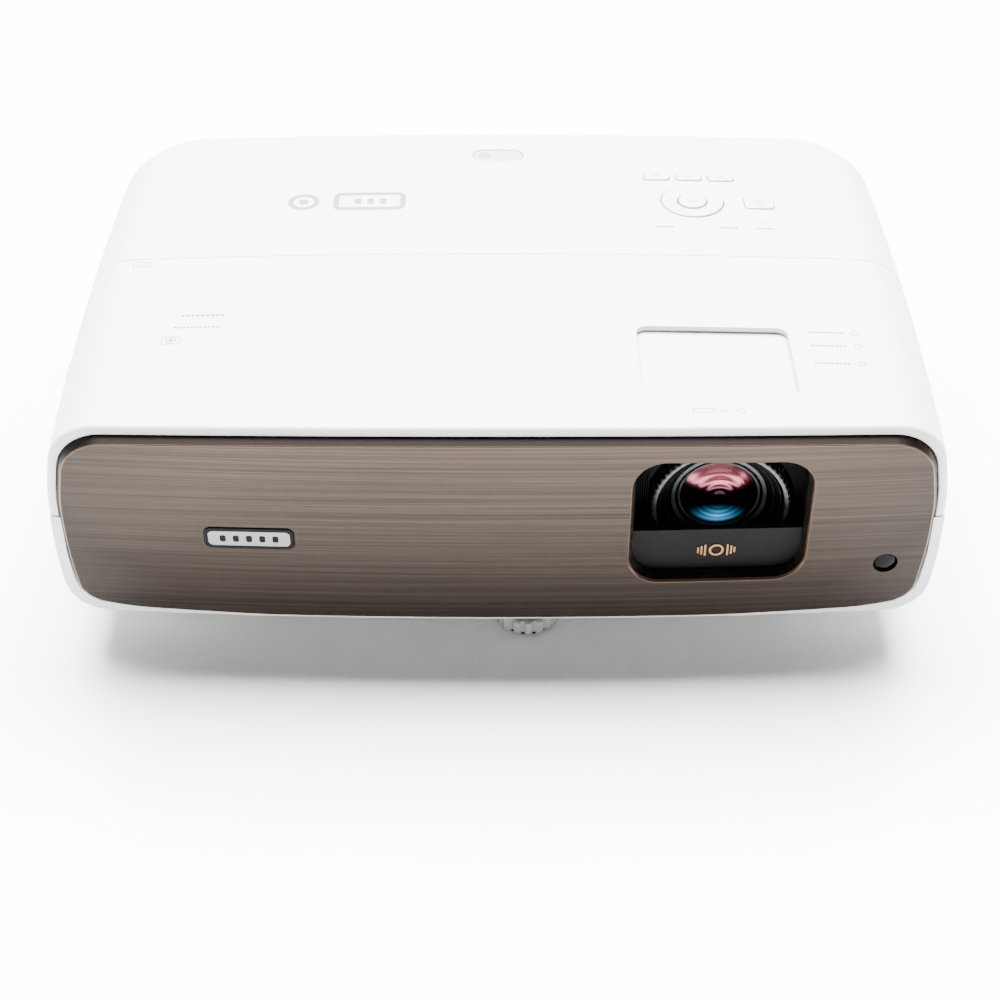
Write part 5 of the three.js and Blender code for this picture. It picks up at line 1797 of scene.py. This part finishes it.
    def build_serial(self) -> None:
        """Builds the nine-pin serial socket with its two screw nuts."""
        low, high = box_mm("serial_port")
        (x, z), y = middle_of(low, high), high.y
        mouth = ((-7.4, -4.2), (7.4, -4.2), (8.6, 4.2), (-8.6, 4.2))
        spots = rounded([Corner(x + dx, z + dz, 1.6, 4) for dx, dz in mouth])
        plan = rounded(rectangle(x, z, high.x - low.x - 0.2, high.z - low.z - 0.2, 1, 3))
        collar = hoop(spots, Axis.Y, ((0, y - 5), (0, y - 0.1), (0.5, y - 0.1), (0.5, y - 4)))
        profile = [(1.5, y - 4.4), (2.6, y - 4.4), (2.6, y - 0.6), (1.5, y - 0.6)]
        nuts = [turned(profile, Axis.Y, (x + dx, y, z), 6) for dx in (-12.5, 12.5)]
        shell = merged([slab(plan, Axis.Y, y - 6, y - 4.2, 0.2), collar, *nuts])
        dress(shell, STEEL, stands_for=["serial_port"], name="serial_shell")
        face = slab(spots, Axis.Y, y - 4.5, y - 1.4, 0.3)
        dress(face, SOCKET_BLACK, name="serial_insert")
        pin = [(0, y - 1.5), (0.55, y - 1.5), (0.55, y - 1.2), (0.3, y - 1.1), (0, y - 1.1)]
        pins = []
        for row, count in ((1.4, 5), (-1.4, 4)):
            for k in range(count):
                place = (x + (k - (count - 1) / 2) * self.serial_pitch, y, z + row)
                pins.append(turned(pin, Axis.Y, place, 12))
        dress(merged(pins), BRASS_PIN, name="serial_contacts")

    def build_jacks(self) -> None:
        """Builds the two round jacks and the optical socket's shutter."""
        for node, x in self.jacks:
            y = box_mm(node)[1].y
            rim = [(4.0, y - 0.3), (3.7, y), (2.6, y), (2.2, y - 0.5), (1.9, y - 0.7)]
            collar = turned([(1.9, y - 10), (4.0, y - 10), *rim], Axis.Y, (x, y, JACK_Z), 40)
            dress(collar, SOCKET_BLACK, stands_for=[node], name=f"{node}_collar")
            sleeve = [(1.75, y - 10), (1.9, y - 10), (1.9, y - 0.9), (1.75, y - 0.9)]
            dress(turned(sleeve, Axis.Y, (x, y, JACK_Z), 32), BRASS_PIN, name=f"{node}_sleeve")
        low, high = box_mm("optical_port")
        (x, z), y = middle_of(low, high), high.y
        foot = ((-4.9, -4.9, 0.8), (4.9, -4.9, 0.8))
        mouth = (*foot, (4.9, 2.6, 0.6), (2.8, 4.9, 0.6), (-2.8, 4.9, 0.6), (-4.9, 2.6, 0.6))
        spots = rounded([Corner(x + dx, z + dz, radius, 3) for dx, dz, radius in mouth])
        section = ((0, y - 8), (0, y - 0.2), (0.3, y), (1.2, y), (1.4, y - 0.4), (1.4, y - 2))
        shell = loft(rows_of(spots, Axis.Y, section))
        dress(shell, SOCKET_BLACK, stands_for=["optical_port"], name="optical_shell")

    def build_marks(self) -> None:
        """Prints plain signs over the sockets."""
        back, face = self.y - 0.1, self.y + 0.02
        marks = []
        for socket in self.sockets:
            marks.append(block((socket.x - 3, back, 60.5), (socket.x + 3, face, 61.1)))
            marks.append(block((socket.x - 0.3, back, 60.5), (socket.x + 0.3, face, 62.6)))
        for _, x in self.jacks:
            profile = [(1.2, back), (1.5, back), (1.5, face), (1.2, face)]
            marks.append(turned(profile, Axis.Y, (x, self.y, 61), 24))
        marks.append(block((6, back, 62), (14, face, 62.6)))
        dress(merged(marks), INK_WHITE, name="rear_marks")

    def build(self) -> None:
        """Builds the rear panel and its sockets."""
        self.build_sheet()
        for socket in self.sockets:
            self.build_tongue_socket(socket)
        self.build_mains()
        self.build_serial()
        self.build_jacks()
        self.build_marks()


# ------------------------------------------------------------------ printed marks on the casing
@dataclass
class Prints:
    """Plain grey signs on the cover: no words, no names."""

    thick: float = 0.04

    def bar(self, x0: float, y0: float, x1: float, y1: float) -> bmesh.types.BMesh:
        """Returns a flat printed bar."""
        return block((x0, y0, -0.2), (x1, y1, self.thick))

    def hoop(self, x: float, y: float, radius: float, width: float) -> bmesh.types.BMesh:
        """Returns a flat printed circle."""
        inner = radius - width
        profile = [(inner, -0.2), (radius, -0.2), (radius, self.thick), (inner, self.thick)]
        return turned(profile, Axis.Z, (x, y, 0), 40)

    def frame(self, x: float, y: float, width: float, depth: float, line: float) -> bmesh.types.BMesh:
        """Returns a flat printed rectangle with rounded corners."""
        spots = rounded(rectangle(x, y, width, depth, min(width, depth) * 0.25, 5, 8))
        return hoop(spots, Axis.Z, ((0, -0.2), (0, self.thick), (line, self.thick), (line, -0.2)))

    def words(self, x: float, y: float, count: int, size: float) -> list[bmesh.types.BMesh]:
        """Returns a row of small blank blocks where a caption would stand."""
        starts = [x + k * size * 1.15 for k in range(count)]
        return [self.bar(start, y, start + 0.8 * size, y + size * 0.8) for start in starts]

    def lay(self, name: str, parts: Iterable[bmesh.types.BMesh], finish: Finish) -> None:
        """Lays flat prints on the crowned cover."""

        def cover(point: Vector) -> Vector:
            unbowed = point.x * point.x / FORM.bowed(point.x, point.y) if point.x else 0.0
            return Vector((point.x, point.y, FORM.top_z(unbowed) + point.z))

        dress(bend(to_object(name, merged(parts)), cover), finish)

    def build_badge(self) -> None:
        """Prints the large plain mark on the rear cover: a lens and the screen that it lights."""
        parts = [self.hoop(-91, 53, 7.4, 2.6), self.hoop(-91, 53, 2.4, 2.3), self.frame(-60, 53, 34, 16, 2.6)]
        parts += [self.bar(-67 + 6 * k, 50.5, -64 + 6 * k, 55.5) for k in range(3)]
        self.lay("cover_badge", parts, INK_PALE)

    def build_signs(self) -> None:
        """Prints the small signs and blank captions on the covers."""
        parts = [self.hoop(-139, -61, 2.4, 0.5), self.hoop(-139, -61, 1.1, 1.0)]
        parts.append(self.frame(-139, -61, 8.0, 6.0, 0.35))
        parts += self.words(-139, -52, 11, 1.6)
        parts += self.words(-137, -43, 9, 1.9)
        parts += [self.frame(-160, 0.5, 8, 5, 0.4), self.bar(-162, -0.5, -158, 0.3)]
        self.lay("left_signs", parts, INK)
        parts = []
        for y in (-55.0, -65.0, -78.0):
            parts += [self.hoop(153, y, 1.8, 0.4), *self.words(133, y - 0.6, 9, 1.5)]
        parts += [self.frame(83.5, -113.5, 9, 3.2, 0.4), self.bar(90.5, -113.8, 93.5, -113.2)]
        parts.append(self.hoop(98.5, -113.5, 1.7, 0.4))
        self.lay("lens_signs", parts, INK)
        parts = []
        for x in Keypad().lights:
            parts += self.words(x - 3.5, Keypad().light_y - 5.6, 5, 1.5)
        self.lay("light_signs", parts, INK_DARK)

    def build(self) -> None:
        """Builds all printed marks."""
        self.build_badge()
        self.build_signs()


# ------------------------------------------------------------------ what is carried over from the frame
INSIDE = {
    "lens_carriage": CHARCOAL,
    "lens_mount": STEEL,
    "lens_shift_dial": WHITE_KEYS,
    "keypad_board": BOARD,
    "main_board": BOARD,
    "power_supply": BOARD,
    "lamp_ballast": ALLOY,
    "lamp_module": CHARCOAL,
    "colour_wheel": MACHINE,
    "wheel_motor": STEEL,
    "optical_engine": ALLOY,
    "chip_heat_sink": ALLOY,
    "exhaust_fan_frame": SOCKET_BLACK,
    "exhaust_fan_rotor": SOCKET_BLACK,
    "intake_fan_frame": SOCKET_BLACK,
    "intake_fan_rotor": SOCKET_BLACK,
    "speaker_left": CHARCOAL,
    "speaker_right": CHARCOAL,
    "bottom_case": WHITE_ABS,
}


def dress_frame() -> None:
    """Gives each node that stays in view its own finish."""
    for name, finish in INSIDE.items():
        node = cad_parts[name]
        node.data.materials.clear()
        node.data.materials.append(finish.material())
        LOG.info("%s: frame node in %s", name, finish.name)


# ------------------------------------------------------------------ studio
@dataclass
class Studio:
    """Camera, floor and plain soft light."""

    lens: float = 72.54
    place: tuple[float, float, float] = (0.0, -0.7718, 0.6094)
    turn: float = 53.1
    shift: tuple[float, float] = (0.0027, -0.062)
    overhead_watts: float = 640.0
    front_watts: float = 15.0
    surround: float = 0.3

    def build_camera(self) -> None:
        """Stands the camera in front and above, level from side to side."""
        data = bpy.data.cameras.new("camera")
        data.lens = self.lens
        data.sensor_width = 36.0
        data.shift_x, data.shift_y = self.shift
        data.clip_start, data.clip_end = 0.05, 50
        camera = bpy.data.objects.new("camera", data)
        camera.location = self.place
        camera.rotation_euler = (math.radians(self.turn), 0, 0)
        bpy.context.scene.collection.objects.link(camera)
        bpy.context.scene.camera = camera

    def add_light(
        self, name: str, place: Sequence[float], aim: Sequence[float], size: tuple[float, float], power: float
    ) -> None:
        """Adds a rectangular soft light.

        Args:
            name: its name.
            place: where it stands, in metres.
            aim: the point that it faces.
            size: its width and height.
            power: in watts.
        """
        data = bpy.data.lights.new(name, "AREA")
        data.shape = "RECTANGLE"
        data.size, data.size_y = size
        data.energy = power
        light = bpy.data.objects.new(name, data)
        light.location = place
        light.rotation_euler = (Vector(aim) - Vector(place)).to_track_quat("-Z", "Y").to_euler()
        bpy.context.scene.collection.objects.link(light)

    def build_lights(self) -> None:
        """Adds the overhead bank, a low front fill and a white surround."""
        self.add_light("overhead", (0, 0.55, 1.7), (0, 0, 0), (2.0, 1.3), self.overhead_watts)
        self.add_light("front", (0, -2.2, 0.9), (0, 0, 0.07), (2.4, 0.8), self.front_watts)
        world = bpy.data.worlds.new("surround")
        world.use_nodes = True
        sky = world.node_tree.nodes["Background"]
        sky.inputs["Color"].default_value = linear("#FFFFFF")
        sky.inputs["Strength"].default_value = self.surround
        bpy.context.scene.world = world

    def build_floor(self) -> None:
        """Lays a wide pale floor."""
        mesh = bmesh.new()
        bmesh.ops.create_grid(mesh, x_segments=1, y_segments=1, size=12)
        floor = to_object("floor", mesh)
        floor.data.materials.append(FLOOR.material())

    def build(self) -> None:
        """Builds the studio."""
        self.build_camera()
        self.build_lights()
        self.build_floor()


def main() -> None:
    """Builds every sub-assembly in order."""
    logging.basicConfig(level=logging.INFO, format="%(message)s")
    Studio().build()
    door, keypad = AccessDoor(), Keypad()
    Casing().build(door, keypad)
    FrontPanel().build()
    door.build()
    keypad.build()
    Lens().build()
    Foot("front_foot", 13.2, -94.8, 14.0, 16).build()
    Foot("rear_foot_left", -138.0, 92.0, 11.0, 14).build()
    Foot("rear_foot_right", 138.0, 92.0, 11.0, 14).build()
    RearPanel().build()
    Prints().build()
    dress_frame()


if __name__ == "__main__":
    main()
